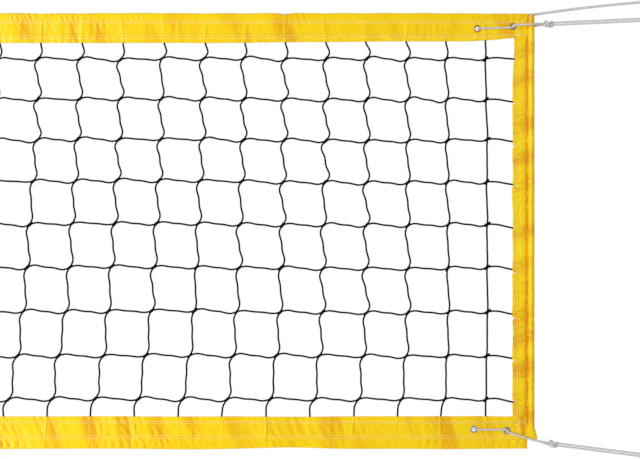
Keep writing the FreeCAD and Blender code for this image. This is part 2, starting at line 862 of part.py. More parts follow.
def check_and_write():
    """Stops on any failed object, then writes each node's file."""
    doc.recompute()
    for thing in doc.Objects:
        if "Invalid" in thing.State or "Error" in thing.State:
            raise RuntimeError(f"{thing.Name} failed: {thing.State}")
    os.makedirs("parts", exist_ok=True)
    for label, thing in nodes.items():
        shape = thing.Shape
        if shape.isNull() or not shape.isValid():
            raise RuntimeError(f"{label} has no valid shape")
        shape.exportStep(f"parts/{label}.step")
        print(f"{label}: {len(shape.Solids)} solids, {shape.Volume / 1000:.2f} cm3")


def main():
    fill_sheet()
    top_band()
    bottom_band()
    side_band()
    eyelets("top", TOP_EYELETS)
    eyelets("bottom", BOTTOM_EYELETS)
    side_pole()
    pole_caps()
    level_cords()
    upright_cords()
    corner_ropes()
    top_cable()
    check_and_write()


main()
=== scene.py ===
"""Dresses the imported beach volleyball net: cloth bands, knotted mesh, laced ropes, eyelets, poles.

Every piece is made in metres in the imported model's frame. The origin is the middle of the net's
top edge, +X runs along the net, +Y points to its back and +Z up. A right-hand piece is given by
its own places, and its left-hand twin is the mirror image with wrinkles of its own.
"""

import logging
import math
from dataclasses import dataclass, field
from enum import Enum

import bpy
import numpy as np
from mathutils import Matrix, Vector


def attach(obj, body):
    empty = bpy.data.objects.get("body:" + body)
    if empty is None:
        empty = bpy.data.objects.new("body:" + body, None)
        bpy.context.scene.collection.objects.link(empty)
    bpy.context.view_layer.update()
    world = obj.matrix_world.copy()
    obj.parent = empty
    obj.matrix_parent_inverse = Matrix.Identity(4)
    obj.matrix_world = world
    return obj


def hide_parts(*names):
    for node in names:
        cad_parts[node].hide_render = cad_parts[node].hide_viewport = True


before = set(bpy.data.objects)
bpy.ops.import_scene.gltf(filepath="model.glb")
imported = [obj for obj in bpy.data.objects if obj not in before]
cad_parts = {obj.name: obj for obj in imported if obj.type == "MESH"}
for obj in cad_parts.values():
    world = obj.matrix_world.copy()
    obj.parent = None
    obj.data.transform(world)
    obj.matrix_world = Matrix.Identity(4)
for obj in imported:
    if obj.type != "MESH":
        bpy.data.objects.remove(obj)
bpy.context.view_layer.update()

MM = 0.001
NET_BODY = "net"
BAND_END = 4.233
SLEEVE_X = 4.2422

NO_SLANT = (0.0, 0.0)

log = logging.getLogger("net")


class Side(Enum):
    """The two ends of the net."""

    RIGHT = 1
    LEFT = -1

    @property
    def word(self) -> str:
        """The end's name in the nodes' names."""
        return self.name.lower()


class Slot(Enum):
    """The record's material slots."""

    NET_CORD = "net_cord"
    CLOTH = "band_cloth"
    BRASS = "top_eyelet_metal"
    NICKEL = "bottom_eyelet_metal"
    POLE = "pole_tube"
    CAP = "cap_rubber"
    ROPE = "rope"


def linear(colour: str) -> tuple[float, float, float, float]:
    """Turns a hex sRGB colour into the linear values that Blender's sockets take.

    Args:
        colour: The colour as "#RRGGBB".

    Returns:
        Linear red, green and blue, and an alpha of 1.
    """
    parts = [int(colour[i : i + 2], 16) / 255 for i in (1, 3, 5)]
    values = [p / 12.92 if p <= 0.04045 else ((p + 0.055) / 1.055) ** 2.4 for p in parts]
    return (values[0], values[1], values[2], 1.0)


class Graph:
    """The node graph of one material, or of the surroundings."""

    def __init__(self, owner: bpy.types.Material | bpy.types.World) -> None:
        """Starts with an empty graph.

        Args:
            owner: The material or world that the nodes belong to.
        """
        owner.use_nodes = True
        self.owner = owner
        self.tree = owner.node_tree
        self.tree.nodes.clear()

    def add(
        self, kind: str, inputs: dict[str | int, object] | None = None, **settings: object
    ) -> "bpy.types.bpy_prop_collection":
        """Adds one node with its settings and links.

        Args:
            kind: The node's type name, without its "ShaderNode".
            inputs: A socket to link, or a plain value, for each input by name or number.
            settings: The node's own properties by name, and "stops" for a ramp's places and
                hex colours.

        Returns:
            The node's outputs.
        """
        node = self.tree.nodes.new(f"ShaderNode{kind}")
        stops = settings.pop("stops", [])
        for _ in stops[2:]:
            node.color_ramp.elements.new(0.5)
        for number, (place, colour) in enumerate(stops):
            node.color_ramp.elements[number].position = place
            node.color_ramp.elements[number].color = linear(colour)
        for name, value in settings.items():
            setattr(node, name, value)
        for name, value in (inputs or {}).items():
            if isinstance(value, bpy.types.NodeSocket):
                self.tree.links.new(value, node.inputs[name])
            else:
                node.inputs[name].default_value = value
        return node.outputs


def stripe_scale(period: float) -> float:
    """The wave texture's scale that lays its stripes this far apart."""
    return 2 * math.pi / 20 / period


def seen_directly(graph: Graph) -> bpy.types.NodeSocket:
    """Finds the rays that show the background and light nothing.

    Args:
        graph: The graph to add to.

    Returns:
        1 on rays from the camera, gloss or clear resin, and 0 on all others.
    """
    rays = graph.add("LightPath")
    either = {0: rays["Is Camera Ray"], 1: rays["Is Glossy Ray"]}
    gloss = graph.add("Math", either, operation="MAXIMUM")["Value"]
    every = {0: gloss, 1: rays["Is Transmission Ray"]}
    return graph.add("Math", every, operation="MAXIMUM")["Value"]


@dataclass(frozen=True)
class CoatedCloth:
    """Polyester cloth coated with PVC film."""

    # Calendered film over a woven scrim. The eye gets a strong yellow with a soft gloss, and
    # orange in the folds, where light goes from cloth to cloth before it comes out. That orange
    # is painted shade: the colours below run from deep orange in a fold to a pale painted
    # highlight on raised cloth, mixed with paler and deeper dye.
    name: str = "coated_polyester_cloth"
    fold_shade: str = "#DE9600"
    deep: str = "#EDB200"
    body: str = "#F9D100"
    pale: str = "#FEDB14"
    # Distance between the scrim's threads, as on the real cloth.
    scrim: float = 0.9 * MM
    scrim_depth: float = 0.012 * MM
    # Hollows that folding has left in the film.
    crumple: float = 19 * MM
    crumple_depth: float = 1.9 * MM
    # Patches of paler and deeper dye, and patches rubbed duller.
    dye: float = 125 * MM
    rubbed: float = 29.41 * MM

    def build(self) -> bpy.types.Material:
        """Makes the cloth's material.

        Returns:
            The material, which paints shade into the folds and a highlight onto raised cloth from
            the attribute that the cloth carries.
        """
        graph = Graph(bpy.data.materials.new(self.name))
        place = graph.add("TexCoord")["Object"]
        drawn = graph.add("Mapping", {"Vector": place, "Scale": (1.0, 1.0, 0.5)})["Vector"]
        dye = graph.add("TexNoise", {"Vector": drawn, "Scale": 1 / self.dye, "Detail": 4.0})
        # Painted shade and highlight: how far the cloth is raised turns the colour orange in its
        # folds and paler on its crests, on top of the dye's random patches.
        fold_shade = graph.add("Attribute", attribute_name="fold_shade")["Fac"]
        raised = graph.add("MapRange", {"Value": fold_shade, "To Min": -0.13, "To Max": 0.55})
        mixed = {0: dye["Fac"], 1: 0.55, 2: raised["Result"]}
        shade = graph.add("Math", mixed, operation="MULTIPLY_ADD")["Value"]
        stops = [(0.14, self.fold_shade), (0.34, self.deep), (0.50, self.body), (0.78, self.pale)]
        colour = graph.add("ValToRGB", {"Fac": shade}, stops=stops)["Color"]
        rubs = graph.add("TexNoise", {"Vector": place, "Scale": 1 / self.rubbed, "Detail": 3.0})
        rough = graph.add("MapRange", {"Value": rubs["Fac"], "To Min": 0.15, "To Max": 0.36})
        weave = {"Vector": place, "Scale": stripe_scale(self.scrim)}
        weave |= {"Distortion": 0.0, "Detail": 0.0}
        warp = graph.add("TexWave", weave, wave_type="BANDS", bands_direction="X")["Fac"]
        weft = graph.add("TexWave", weave, wave_type="BANDS", bands_direction="Z")["Fac"]
        threads = graph.add("Math", {0: warp, 1: weft}, operation="ADD")["Value"]
        woven = {"Height": threads, "Strength": 1.0, "Distance": self.scrim_depth}
        normal = graph.add("Bump", woven)["Normal"]
        pressed = graph.add("Mapping", {"Vector": place, "Scale": (1.0, 1.0, 0.55)})["Vector"]
        hollow = {"Vector": pressed, "Scale": 1 / self.crumple, "Detail": 5.0}
        height = graph.add("TexNoise", hollow)["Fac"]
        film = {"Height": height, "Strength": 1.0, "Distance": self.crumple_depth, "Normal": normal}
        look = {
            "Base Color": colour,
            "Roughness": rough["Result"],
            "Normal": graph.add("Bump", film)["Normal"],
            "Specular IOR Level": 0.24,
        }
        graph.add("OutputMaterial", {"Surface": graph.add("BsdfPrincipled", look)["BSDF"]})
        return graph.owner


@dataclass(frozen=True)
class SewingThread:
    """Bonded polyester sewing thread."""

    # Twisted and bonded. The eye gets a thread paler than the cloth and duller than its film,
    # flecked where the needle has rubbed it.
    name: str = "polyester_sewing_thread"
    light: str = "#FFF4BE"
    dark: str = "#FBDF78"
    fleck: float = 3.846 * MM
    # The ply is about 0.35 mm apart, too fine to show, so it is drawn twice as coarse.
    ply: float = 0.7 * MM
    ply_depth: float = 0.08 * MM

    def build(self) -> bpy.types.Material:
        """Makes the thread's material.

        Returns:
            The material.
        """
        graph = Graph(bpy.data.materials.new(self.name))
        place = graph.add("TexCoord")["Object"]
        fleck = graph.add("TexNoise", {"Vector": place, "Scale": 1 / self.fleck, "Detail": 2.0})
        stops = [(0.35, self.dark), (0.65, self.light)]
        twist = {"Vector": place, "Scale": stripe_scale(self.ply), "Distortion": 0.0, "Detail": 0.0}
        ply = graph.add("TexWave", twist, wave_type="BANDS", bands_direction="DIAGONAL")["Fac"]
        raised = {"Height": ply, "Strength": 1.0, "Distance": self.ply_depth}
        look = {
            "Base Color": graph.add("ValToRGB", {"Fac": fleck["Fac"]}, stops=stops)["Color"],
            "Roughness": 0.55,
            "Normal": graph.add("Bump", raised)["Normal"],
        }
        graph.add("OutputMaterial", {"Surface": graph.add("BsdfPrincipled", look)["BSDF"]})
        return graph.owner


@dataclass(frozen=True)
class TwistedCord:
    """Black polyethylene cord."""

    # Drawn tape twisted hard. The eye gets near black with hardly any shine, and strands that
    # slant round the cord, with shade painted a little darker in the grooves between them.
    name: str = "black_polyethylene_cord"
    dark: str = "#050607"
    light: str = "#14171A"
    # Length of one turn of the strands along the cord.
    lay: float = 4 * MM
    strand_depth: float = 0.35 * MM
    # Single fibres are too fine to show, so the fuzz is drawn about 1 mm across.
    fuzz: float = 1.111 * MM
    fuzz_depth: float = 0.05 * MM

    def build(self) -> bpy.types.Material:
        """Makes the cord's material.

        Returns:
            The material, which follows the cord by its own map.
        """
        graph = Graph(bpy.data.materials.new(self.name))
        where = graph.add("TexCoord")
        along = {"Vector": where["UV"], "Scale": (1 / self.lay, 3.0, 1.0)}
        wound = {"Vector": graph.add("Mapping", along)["Vector"], "Scale": stripe_scale(1.0)}
        wound |= {"Distortion": 0.0, "Detail": 0.0}
        strand = graph.add("TexWave", wound, wave_type="BANDS", bands_direction="DIAGONAL")["Fac"]
        # Painted shade: the strands' colour follows their height, darker in the grooves.
        stops = [(0.1, self.dark), (0.9, self.light)]
        fibre = {"Vector": where["Object"], "Scale": 1 / self.fuzz, "Detail": 2.0}
        fuzz = graph.add("TexNoise", fibre)["Fac"]
        rough = graph.add("MapRange", {"Value": fuzz, "To Min": 0.55, "To Max": 0.8})["Result"]
        thick = {"Height": strand, "Strength": 1.0, "Distance": self.strand_depth}
        thin = {"Height": fuzz, "Strength": 1.0, "Distance": self.fuzz_depth}
        thin["Normal"] = graph.add("Bump", thick)["Normal"]
        look = {
            "Base Color": graph.add("ValToRGB", {"Fac": strand}, stops=stops)["Color"],
            "Roughness": rough,
            "Normal": graph.add("Bump", thin)["Normal"],
            "Specular IOR Level": 0.06,
        }
        graph.add("OutputMaterial", {"Surface": graph.add("BsdfPrincipled", look)["BSDF"]})
        return graph.owner


@dataclass(frozen=True)
class BraidedRope:
    """White polyester rope. Its plaits are in the mesh."""

    # Spun yarn, braided. The eye gets a chalky white without gloss, with shade painted greyer
    # between the yarns, and a little soiled by hands.
    name: str = "white_braided_polyester"
    white: str = "#DFDEDC"
    shade: str = "#BFBEBC"
    soil: str = "#CFCAC0"
    # A yarn is about 0.5 mm thick, too fine to show, so its flecks are drawn 1.9 mm across.
    yarn: float = 1.923 * MM
    yarn_depth: float = 0.12 * MM
    # Length of a soiled stretch, about a hand's width.
    handled: float = 62.5 * MM

    def build(self) -> bpy.types.Material:
        """Makes the rope's material.

        Returns:
            The material.
        """
        graph = Graph(bpy.data.materials.new(self.name))
        place = graph.add("TexCoord")["Object"]
        spun = {"Vector": place, "Scale": 1 / self.yarn, "Detail": 3.0}
        yarn = graph.add("TexNoise", spun)["Fac"]
        # Painted shade: the colour follows the yarns' height, greyer where they dip.
        stops = [(0.30, self.shade), (0.62, self.white)]
        clean = graph.add("ValToRGB", {"Fac": yarn}, stops=stops)["Color"]
        worn = graph.add("TexNoise", {"Vector": place, "Scale": 1 / self.handled, "Detail": 4.0})
        share = graph.add("MapRange", {"Value": worn["Fac"], "To Min": 0.0, "To Max": 0.45})
        # Of a colour mix's sockets, inputs 6 and 7 and output 2 are the colours.
        soiled = {"Factor": share["Result"], 6: clean, 7: linear(self.soil)}
        raised = {"Height": yarn, "Strength": 1.0, "Distance": self.yarn_depth}
        look = {
            "Base Color": graph.add("Mix", soiled, data_type="RGBA")[2],
            "Roughness": 0.78,
            "Normal": graph.add("Bump", raised)["Normal"],
        }
        graph.add("OutputMaterial", {"Surface": graph.add("BsdfPrincipled", look)["BSDF"]})
        return graph.owner


@dataclass(frozen=True)
class PressedMetal:
    """Pressed and plated sheet brass."""

    # Pressed from sheet, then rubbed by the rope. The eye gets bright rims with duller patches.
    name: str
    bright: str
    dull: str
    smooth: float = 0.22
    rough: float = 0.48
    # Specks of tarnish are well under 1 mm and scratches finer still. Neither would show, so
    # they are drawn this far apart.
    tarnish: float = 2.381 * MM
    scratch: float = 0.6667 * MM
    scratch_depth: float = 0.02 * MM

    def build(self) -> bpy.types.Material:
        """Makes the metal's material.

        Returns:
            The material.
        """
        graph = Graph(bpy.data.materials.new(self.name))
        place = graph.add("TexCoord")["Object"]
        speck = {"Vector": place, "Scale": 1 / self.tarnish, "Detail": 5.0}
        tarnish = graph.add("TexNoise", speck)["Fac"]
        stops = [(0.34, self.dull), (0.60, self.bright)]
        rubbed = {"Value": tarnish, "To Min": self.rough, "To Max": self.smooth}
        upright = graph.add("Mapping", {"Vector": place, "Scale": (1.0, 1.0, 0.15)})["Vector"]
        line = {"Vector": upright, "Scale": 1 / self.scratch, "Detail": 2.0}
        worn = {"Height": graph.add("TexNoise", line)["Fac"], "Strength": 1.0}
        worn["Distance"] = self.scratch_depth
        look = {
            "Base Color": graph.add("ValToRGB", {"Fac": tarnish}, stops=stops)["Color"],
            "Roughness": graph.add("MapRange", rubbed)["Result"],
            "Normal": graph.add("Bump", worn)["Normal"],
            "Metallic": 1.0,
        }
        graph.add("OutputMaterial", {"Surface": graph.add("BsdfPrincipled", look)["BSDF"]})
        return graph.owner


@dataclass(frozen=True)
class GlassFibre:
    """Pultruded glass-fibre tube."""

    # Glass rovings pulled through a die in resin. The eye gets pale straw, streaked along the
    # tube, under a clear skin.
    name: str = "pultruded_glass_fibre"
    light: str = "#E8E6DA"
    dark: str = "#C9C6B4"
    # Width of a roving, and how much longer than wide its streaks are.
    roving: float = 1.111 * MM
    streak: float = 0.02
    roving_depth: float = 0.03 * MM

    def build(self) -> bpy.types.Material:
        """Makes the tube's material.

        Returns:
            The material.
        """
        graph = Graph(bpy.data.materials.new(self.name))
        place = graph.add("TexCoord")["Object"]
        along = graph.add("Mapping", {"Vector": place, "Scale": (1.0, 1.0, self.streak)})["Vector"]
        roving = {"Vector": along, "Scale": 1 / self.roving, "Detail": 3.0}
        fibre = graph.add("TexNoise", roving)["Fac"]
        stops = [(0.35, self.dark), (0.65, self.light)]
        rough = {"Value": fibre, "To Min": 0.25, "To Max": 0.42}
        raised = {"Height": fibre, "Strength": 1.0, "Distance": self.roving_depth}
        look = {
            "Base Color": graph.add("ValToRGB", {"Fac": fibre}, stops=stops)["Color"],
            "Roughness": graph.add("MapRange", rough)["Result"],
            "Normal": graph.add("Bump", raised)["Normal"],
            "Coat Weight": 0.3,
        }
        graph.add("OutputMaterial", {"Surface": graph.add("BsdfPrincipled", look)["BSDF"]})
        return graph.owner


@dataclass(frozen=True)
class MouldedRubber:
    """Black moulded rubber."""

    # Moulded against a spark-eroded tool. The eye gets near black, matt, with an even grain.
    name: str = "moulded_black_rubber"
    dark: str = "#101112"
    light: str = "#232527"
    # The grain is about 0.1 mm, too fine to show, so it is drawn 0.45 mm across.
    grain: float = 0.4545 * MM
    grain_depth: float = 0.05 * MM
    bloom: float = 11.11 * MM

    def build(self) -> bpy.types.Material:
        """Makes the rubber's material.

        Returns:
            The material.
        """
        graph = Graph(bpy.data.materials.new(self.name))
        place = graph.add("TexCoord")["Object"]
        grain = graph.add("TexNoise", {"Vector": place, "Scale": 1 / self.grain, "Detail": 2.0})
        bloom = graph.add("TexNoise", {"Vector": place, "Scale": 1 / self.bloom, "Detail": 3.0})
        stops = [(0.35, self.dark), (0.70, self.light)]
        rough = {"Value": bloom["Fac"], "To Min": 0.55, "To Max": 0.8}
        raised = {"Height": grain["Fac"], "Strength": 1.0, "Distance": self.grain_depth}
        look = {
            "Base Color": graph.add("ValToRGB", {"Fac": bloom["Fac"]}, stops=stops)["Color"],
            "Roughness": graph.add("MapRange", rough)["Result"],
            "Normal": graph.add("Bump", raised)["Normal"],
        }
        graph.add("OutputMaterial", {"Surface": graph.add("BsdfPrincipled", look)["BSDF"]})
        return graph.owner


@dataclass(frozen=True)
class WhitePlaster:
    """Matt white plaster for the floor, which ends in the white surroundings."""

    # Skimmed by trowel. The eye gets an even white with faint clouds and the net's soft shadow.
    name: str = "matt_white_plaster"
    dark: str = "#EDEDEB"
    light: str = "#F6F6F4"
    cloud: float = 333.3 * MM
    # Share of plain white that the eye sees in place of the lit plaster.
    lift: float = 0.85
    # Half the length and width of the oval at which the floor has faded out.
    oval: tuple[float, float] = (7.4, 4.9)

    def build(self) -> bpy.types.Material:
        """Makes the floor's material.

        Returns:
            The material.
        """
        graph = Graph(bpy.data.materials.new(self.name))
        place = graph.add("TexCoord")["Object"]
        cloud = graph.add("TexNoise", {"Vector": place, "Scale": 1 / self.cloud, "Detail": 4.0})
        stops = [(0.3, self.dark), (0.7, self.light)]
        tone = graph.add("ValToRGB", {"Fac": cloud["Fac"]}, stops=stops)["Color"]
        plaster = graph.add("BsdfPrincipled", {"Base Color": tone, "Roughness": 0.9})["BSDF"]
        share = {"Value": seen_directly(graph), "To Min": 0.0, "To Max": self.lift}
        lifted = {"Fac": graph.add("MapRange", share)["Result"], 1: plaster}
        lifted[2] = graph.add("Emission")["Emission"]
        scale = (1 / self.oval[0], 1 / self.oval[1], 0.0)
        oval = graph.add("Mapping", {"Vector": place, "Scale": scale})["Vector"]
        out = graph.add("VectorMath", {0: oval}, operation="LENGTH")["Value"]
        rim = {"Value": out, "From Min": 0.62, "From Max": 1.0}
        edge = graph.add("MapRange", rim, interpolation_type="SMOOTHSTEP")["Result"]
        faded = {"Fac": edge, 1: graph.add("MixShader", lifted)["Shader"]}
        faded[2] = graph.add("BsdfTransparent")["BSDF"]
        graph.add("OutputMaterial", {"Surface": graph.add("MixShader", faded)["Shader"]})
        return graph.owner


@dataclass
class Finishes:
    """Every finish of the net, made once."""

    cloth: bpy.types.Material = field(default_factory=lambda: CoatedCloth().build())
    thread: bpy.types.Material = field(default_factory=lambda: SewingThread().build())
    cord: bpy.types.Material = field(default_factory=lambda: TwistedCord().build())
    rope: bpy.types.Material = field(default_factory=lambda: BraidedRope().build())
    brass: bpy.types.Material = field(
        default_factory=lambda: PressedMetal("pressed_brass", "#B08A52", "#6E4E2A").build()
    )
    nickel: bpy.types.Material = field(
        default_factory=lambda: PressedMetal("nickel_plated_brass", "#A3A29C", "#66655F").build()
    )
    pole: bpy.types.Material = field(default_factory=lambda: GlassFibre().build())
    cap: bpy.types.Material = field(default_factory=lambda: MouldedRubber().build())


def smooth_step(value: np.ndarray) -> np.ndarray:
    """Eases a value from 0 to 1, flat below 0 and above 1."""
    held = np.clip(value, 0.0, 1.0)
    return held * held * (3 - 2 * held)


def ripples(
    along: np.ndarray,
    across: np.ndarray,
    seed: int,
    waves: tuple[float, float],
    slant: tuple[float, float] = (-0.3, 0.3),
    count: int = 9,
) -> np.ndarray:
    """Smooth uneven ripples from a few sine waves, the same ones each time.

    Args:
        along: Places along the cloth, in metres.
        across: Places across it.
        seed: Picks the waves' phases and lengths.
        waves: Shortest and longest wave, in metres.
        slant: Least and most that a wave leans, as along over across.
        count: How many waves are added up.

    Returns:
        Heights between about -1 and 1.
    """
    source = np.random.default_rng(seed)
    total = np.zeros(np.broadcast(along, across).shape)
    for _ in range(count):
        length = source.uniform(*waves)
        lean = source.uniform(*slant)
        phase = source.uniform(0, 2 * math.pi)
        total = total + np.sin(2 * math.pi * (along + lean * across) / length + phase)
    return total / math.sqrt(count)


def ring_faces(stations: int, sides: int, close_ends: bool = True) -> list[tuple[int, ...]]:
    """Faces of a skin that runs round closed rings of points.

    Args:
        stations: How many rings there are.
        sides: Points in each ring.
        close_ends: Whether the first and last rings get a face.

    Returns:
        Faces as tuples of vertex numbers.
    """
    station, side = np.meshgrid(np.arange(stations - 1), np.arange(sides), indexing="ij")
    after = (side + 1) % sides
    corners = (
        station * sides + side,
        station * sides + after,
        (station + 1) * sides + after,
        (station + 1) * sides + side,
    )
    faces = [tuple(face) for face in np.stack(corners, -1).reshape(-1, 4).tolist()]
    if close_ends:
        faces.append(tuple(reversed(range(sides))))
        faces.append(tuple(range((stations - 1) * sides, stations * sides)))
    return faces


def outward(points: np.ndarray, faces: list[tuple[int, ...]]) -> list[tuple[int, ...]]:
    """Turns a closed skin's faces round if they point inwards.

    Args:
        points: The skin's points.
        faces: Its faces, all turned the same way.

    Returns:
        The faces, pointing outwards.
    """
    quads = np.array([face for face in faces if len(face) == 4])
    a, b, c, d = (points[quads[:, i]] for i in range(4))
    halves = np.cross(b, c), np.cross(c, d)
    volume = sum(np.einsum("ij,ij->i", a, half).sum() for half in halves)
    return faces if volume > 0 else [tuple(reversed(face)) for face in faces]


def gather(shells: list[tuple[np.ndarray, list]]) -> tuple[np.ndarray, list]:
    """Puts several skins together.

    Args:
        shells: Each skin's points and faces.

    Returns:
        All the points, and all the faces with their numbers moved on.
    """
    faces, first = [], 0
    for made, skin in shells:
        faces += [tuple(first + i for i in face) for face in skin]
        first += len(made)
    return np.concatenate([made for made, _ in shells]), faces


def new_piece(
    name: str,
    points: np.ndarray,
    faces: list[tuple[int, ...]],
    material: bpy.types.Material,
    sharp: float = 50.0,
) -> bpy.types.Object:
    """Makes a piece from points and faces, at the origin, with smooth shading.

    Args:
        name: The piece's name.
        points: Its points, in metres.
        faces: Its faces.
        material: Its finish.
        sharp: Edges that turn by more than this many degrees stay sharp.

    Returns:
        The piece.
    """
    mesh = bpy.data.meshes.new(name)
    mesh.from_pydata(points.reshape(-1, 3).tolist(), [], faces)
    mesh.update()
    mesh.materials.append(material)
    piece = bpy.data.objects.new(name, mesh)
    bpy.context.scene.collection.objects.link(piece)
    smooth(piece, sharp)
    return piece


def pick_none() -> None:
    """Deselects everything."""
    bpy.ops.object.select_all(action="DESELECT")


def pick(*pieces: bpy.types.Object) -> None:
    """Selects these pieces alone and makes the last one active."""
    pick_none()
    for piece in pieces:
        piece.select_set(True)
    bpy.context.view_layer.objects.active = pieces[-1]


def smooth(piece: bpy.types.Object, sharp: float) -> None:
    """Shades a piece smooth, with edges sharper than an angle in degrees left sharp."""
    pick(piece)
    bpy.ops.object.shade_smooth_by_angle(angle=math.radians(sharp))


def settle(piece: bpy.types.Object, body: str, slot: Slot, *nodes: str) -> bpy.types.Object:
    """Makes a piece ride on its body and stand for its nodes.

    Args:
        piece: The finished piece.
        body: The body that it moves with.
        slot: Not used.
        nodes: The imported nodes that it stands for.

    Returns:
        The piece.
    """
    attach(piece, body)
    if nodes:
        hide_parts(*nodes)
    log.info("%s: %d faces", piece.name, len(piece.data.polygons))
    return piece


def tube(line: np.ndarray, radii: np.ndarray, sides: int) -> tuple[np.ndarray, list, np.ndarray]:
    """A closed skin round a line, with a map along and round it.

    Args:
        line: Points of the line, in metres.
        radii: Radius at each point and side, as one number or an array of points by sides.
        sides: Points round it.

    Returns:
        Its points, its faces, and the map's values for each corner of each face.
    """
    ahead = np.gradient(line, axis=0)
    ahead /= np.linalg.norm(ahead, axis=1)[:, None]
    up = np.zeros_like(line)
    start = np.array([0.0, 1.0, 0.0]) if abs(ahead[0][1]) < 0.8 else np.array([0.0, 0.0, 1.0])
    up[0] = start - ahead[0] * (start @ ahead[0])
    up[0] /= np.linalg.norm(up[0])
    for i in range(1, len(line)):
        turned = up[i - 1] - ahead[i] * (up[i - 1] @ ahead[i])
        up[i] = turned / np.linalg.norm(turned)
    out = np.cross(ahead, up)
    angle = 2 * math.pi * np.arange(sides) / sides
    reach = np.broadcast_to(radii, (len(line), sides))[:, :, None]
    cosine, sine = np.cos(angle)[None, :, None], np.sin(angle)[None, :, None]
    spokes = cosine * up[:, None, :] + sine * out[:, None, :]
    points = line[:, None, :] + reach * spokes
    faces = ring_faces(len(line), sides)
    steps = np.linalg.norm(np.diff(line, axis=0), axis=1)
    length = np.concatenate([[0.0], np.cumsum(steps)])
    station, side = np.meshgrid(np.arange(len(line) - 1), np.arange(sides), indexing="ij")
    near, far = length[station], length[station + 1]
    low, high = side / sides, (side + 1) / sides
    corners = np.stack([near, low, near, high, far, high, far, low], -1).reshape(-1, 2)
    ends = np.concatenate([np.zeros((sides, 2)), np.full((sides, 2), length[-1])])
    return points.reshape(-1, 3), faces, np.concatenate([corners, ends])


def add_map(piece: bpy.types.Object, values: np.ndarray) -> None:
    """Gives a piece a map from a pair of values for each corner of each face."""
    layer = piece.data.uv_layers.new(name="along_and_round")
    layer.data.foreach_set("uv", values.astype(np.float32).ravel())


def paint_fold_shade(piece: bpy.types.Object, raised: np.ndarray) -> None:
    """Notes at each point how far the cloth is raised, 0 in a deep fold and 1 on a high one,
    from which the cloth's colour paints shade in the folds and a highlight on the crests.

    Args:
        piece: The cloth.
        raised: How far each point stands out, in metres.
    """
    layer = piece.data.attributes.new("fold_shade", "FLOAT", "POINT")
    shares = np.clip(0.5 + raised / (2.6 * MM), 0.0, 1.0)
    layer.data.foreach_set("value", shares.astype(np.float32).ravel())


@dataclass(frozen=True)
class MeshLayout:
    """Where the mesh's cords cross each other and enter the bands.

    The cords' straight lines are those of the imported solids. The net hangs slack between its
    bands, so its knots swing sideways and lie a little high between the top and bottom rows.
    """

    columns: int = 85
    rows: int = 9
    reach: float = 4.134
    lean: float = 0.130
    first_row: float = -0.108
    pitch: float = 0.100
    top: float = -0.053
    foot: float = -0.961
    swing: tuple[float, ...] = (6, 9, 12.8, 13.2, 17.2, 18.5, 22.3, 19.8, 11.2)
    drift: tuple[float, ...] = (1.5, 1.0, 0.5, 0.3, 0.35, 0.2, 0.4, 0.65, 0.75)
    lift: tuple[float, ...] = (0, 5.8, 10, 12, 12, 9.6, 6.5, 3.3, 1.5)
    end_calm: tuple[float, ...] = (0.24, 0.64, 0.9)

    def shares(self) -> np.ndarray:
        """Each column's place, from -1 at the left end to 1 at the right."""
        return 2 * np.arange(self.columns) / (self.columns - 1) - 1

    def straight(self, height: np.ndarray) -> np.ndarray:
        """X of every column's straight line at a height.

        Args:
            height: Heights, as one number or an array that broadcasts to columns by rows.

        Returns:
            X, columns by heights.
        """
        share = self.shares()[:, None]
        drop = (self.top - height) / (self.top - self.foot)
        return self.reach * share + self.lean * np.sin(math.pi * share) * (0.5 - drop)

    def calm(self) -> np.ndarray:
        """How freely each column swings: less beside the side bands, turned round on the left."""
        loose = np.clip(self.shares() / 0.15, -1.0, 1.0)
        for column, share in enumerate(self.end_calm):
            loose[column] *= share
            loose[-1 - column] *= share
        return loose[:, None]

    def inward(self) -> np.ndarray:
        """Columns between each one and its end's last three, twelve at most, with its side."""
        near = np.minimum(np.arange(self.columns), np.arange(self.columns)[::-1])
        return (np.clip(near - 2, 0, 12) * np.clip(self.shares() / 0.15, -1.0, 1.0))[:, None]

    def entries(self, height: float) -> np.ndarray:
        """X where the upright cords enter a band.

        Args:
            height: The height at the band's edge.

        Returns:
            X of each column.
        """
        near = self.inward()[:, 0]
        upper = height > (self.top + self.foot) / 2
        drawn = -(0.09 if upper else 0.03) * near * np.abs(near) * MM
        source = np.random.default_rng(21 if upper else 22)
        spread = source.normal(0, 0.9 * MM, self.columns)
        return self.straight(np.array([[height]]))[:, 0] + drawn + spread

    def knots(self) -> np.ndarray:
        """Every knot's X and Z, columns by rows."""
        source = np.random.default_rng(11)
        column = np.arange(self.columns)[:, None]
        swell = 1 + 0.24 * np.cos(2 * math.pi * (column - 75.5) / 11)
        lift = np.array(self.lift)[None, :] * MM * swell
        height = (self.first_row - self.pitch * np.arange(self.rows))[None, :] + lift
        height = height + source.normal(0, 0.8 * MM, height.shape)
        swing, drift = np.array(self.swing)[None, :], np.array(self.drift)[None, :]
        moved = swing * self.calm() - drift * self.inward()
        x = self.straight(height) + moved * MM + source.normal(0, 0.9 * MM, height.shape)
        return np.stack([x, height], -1)


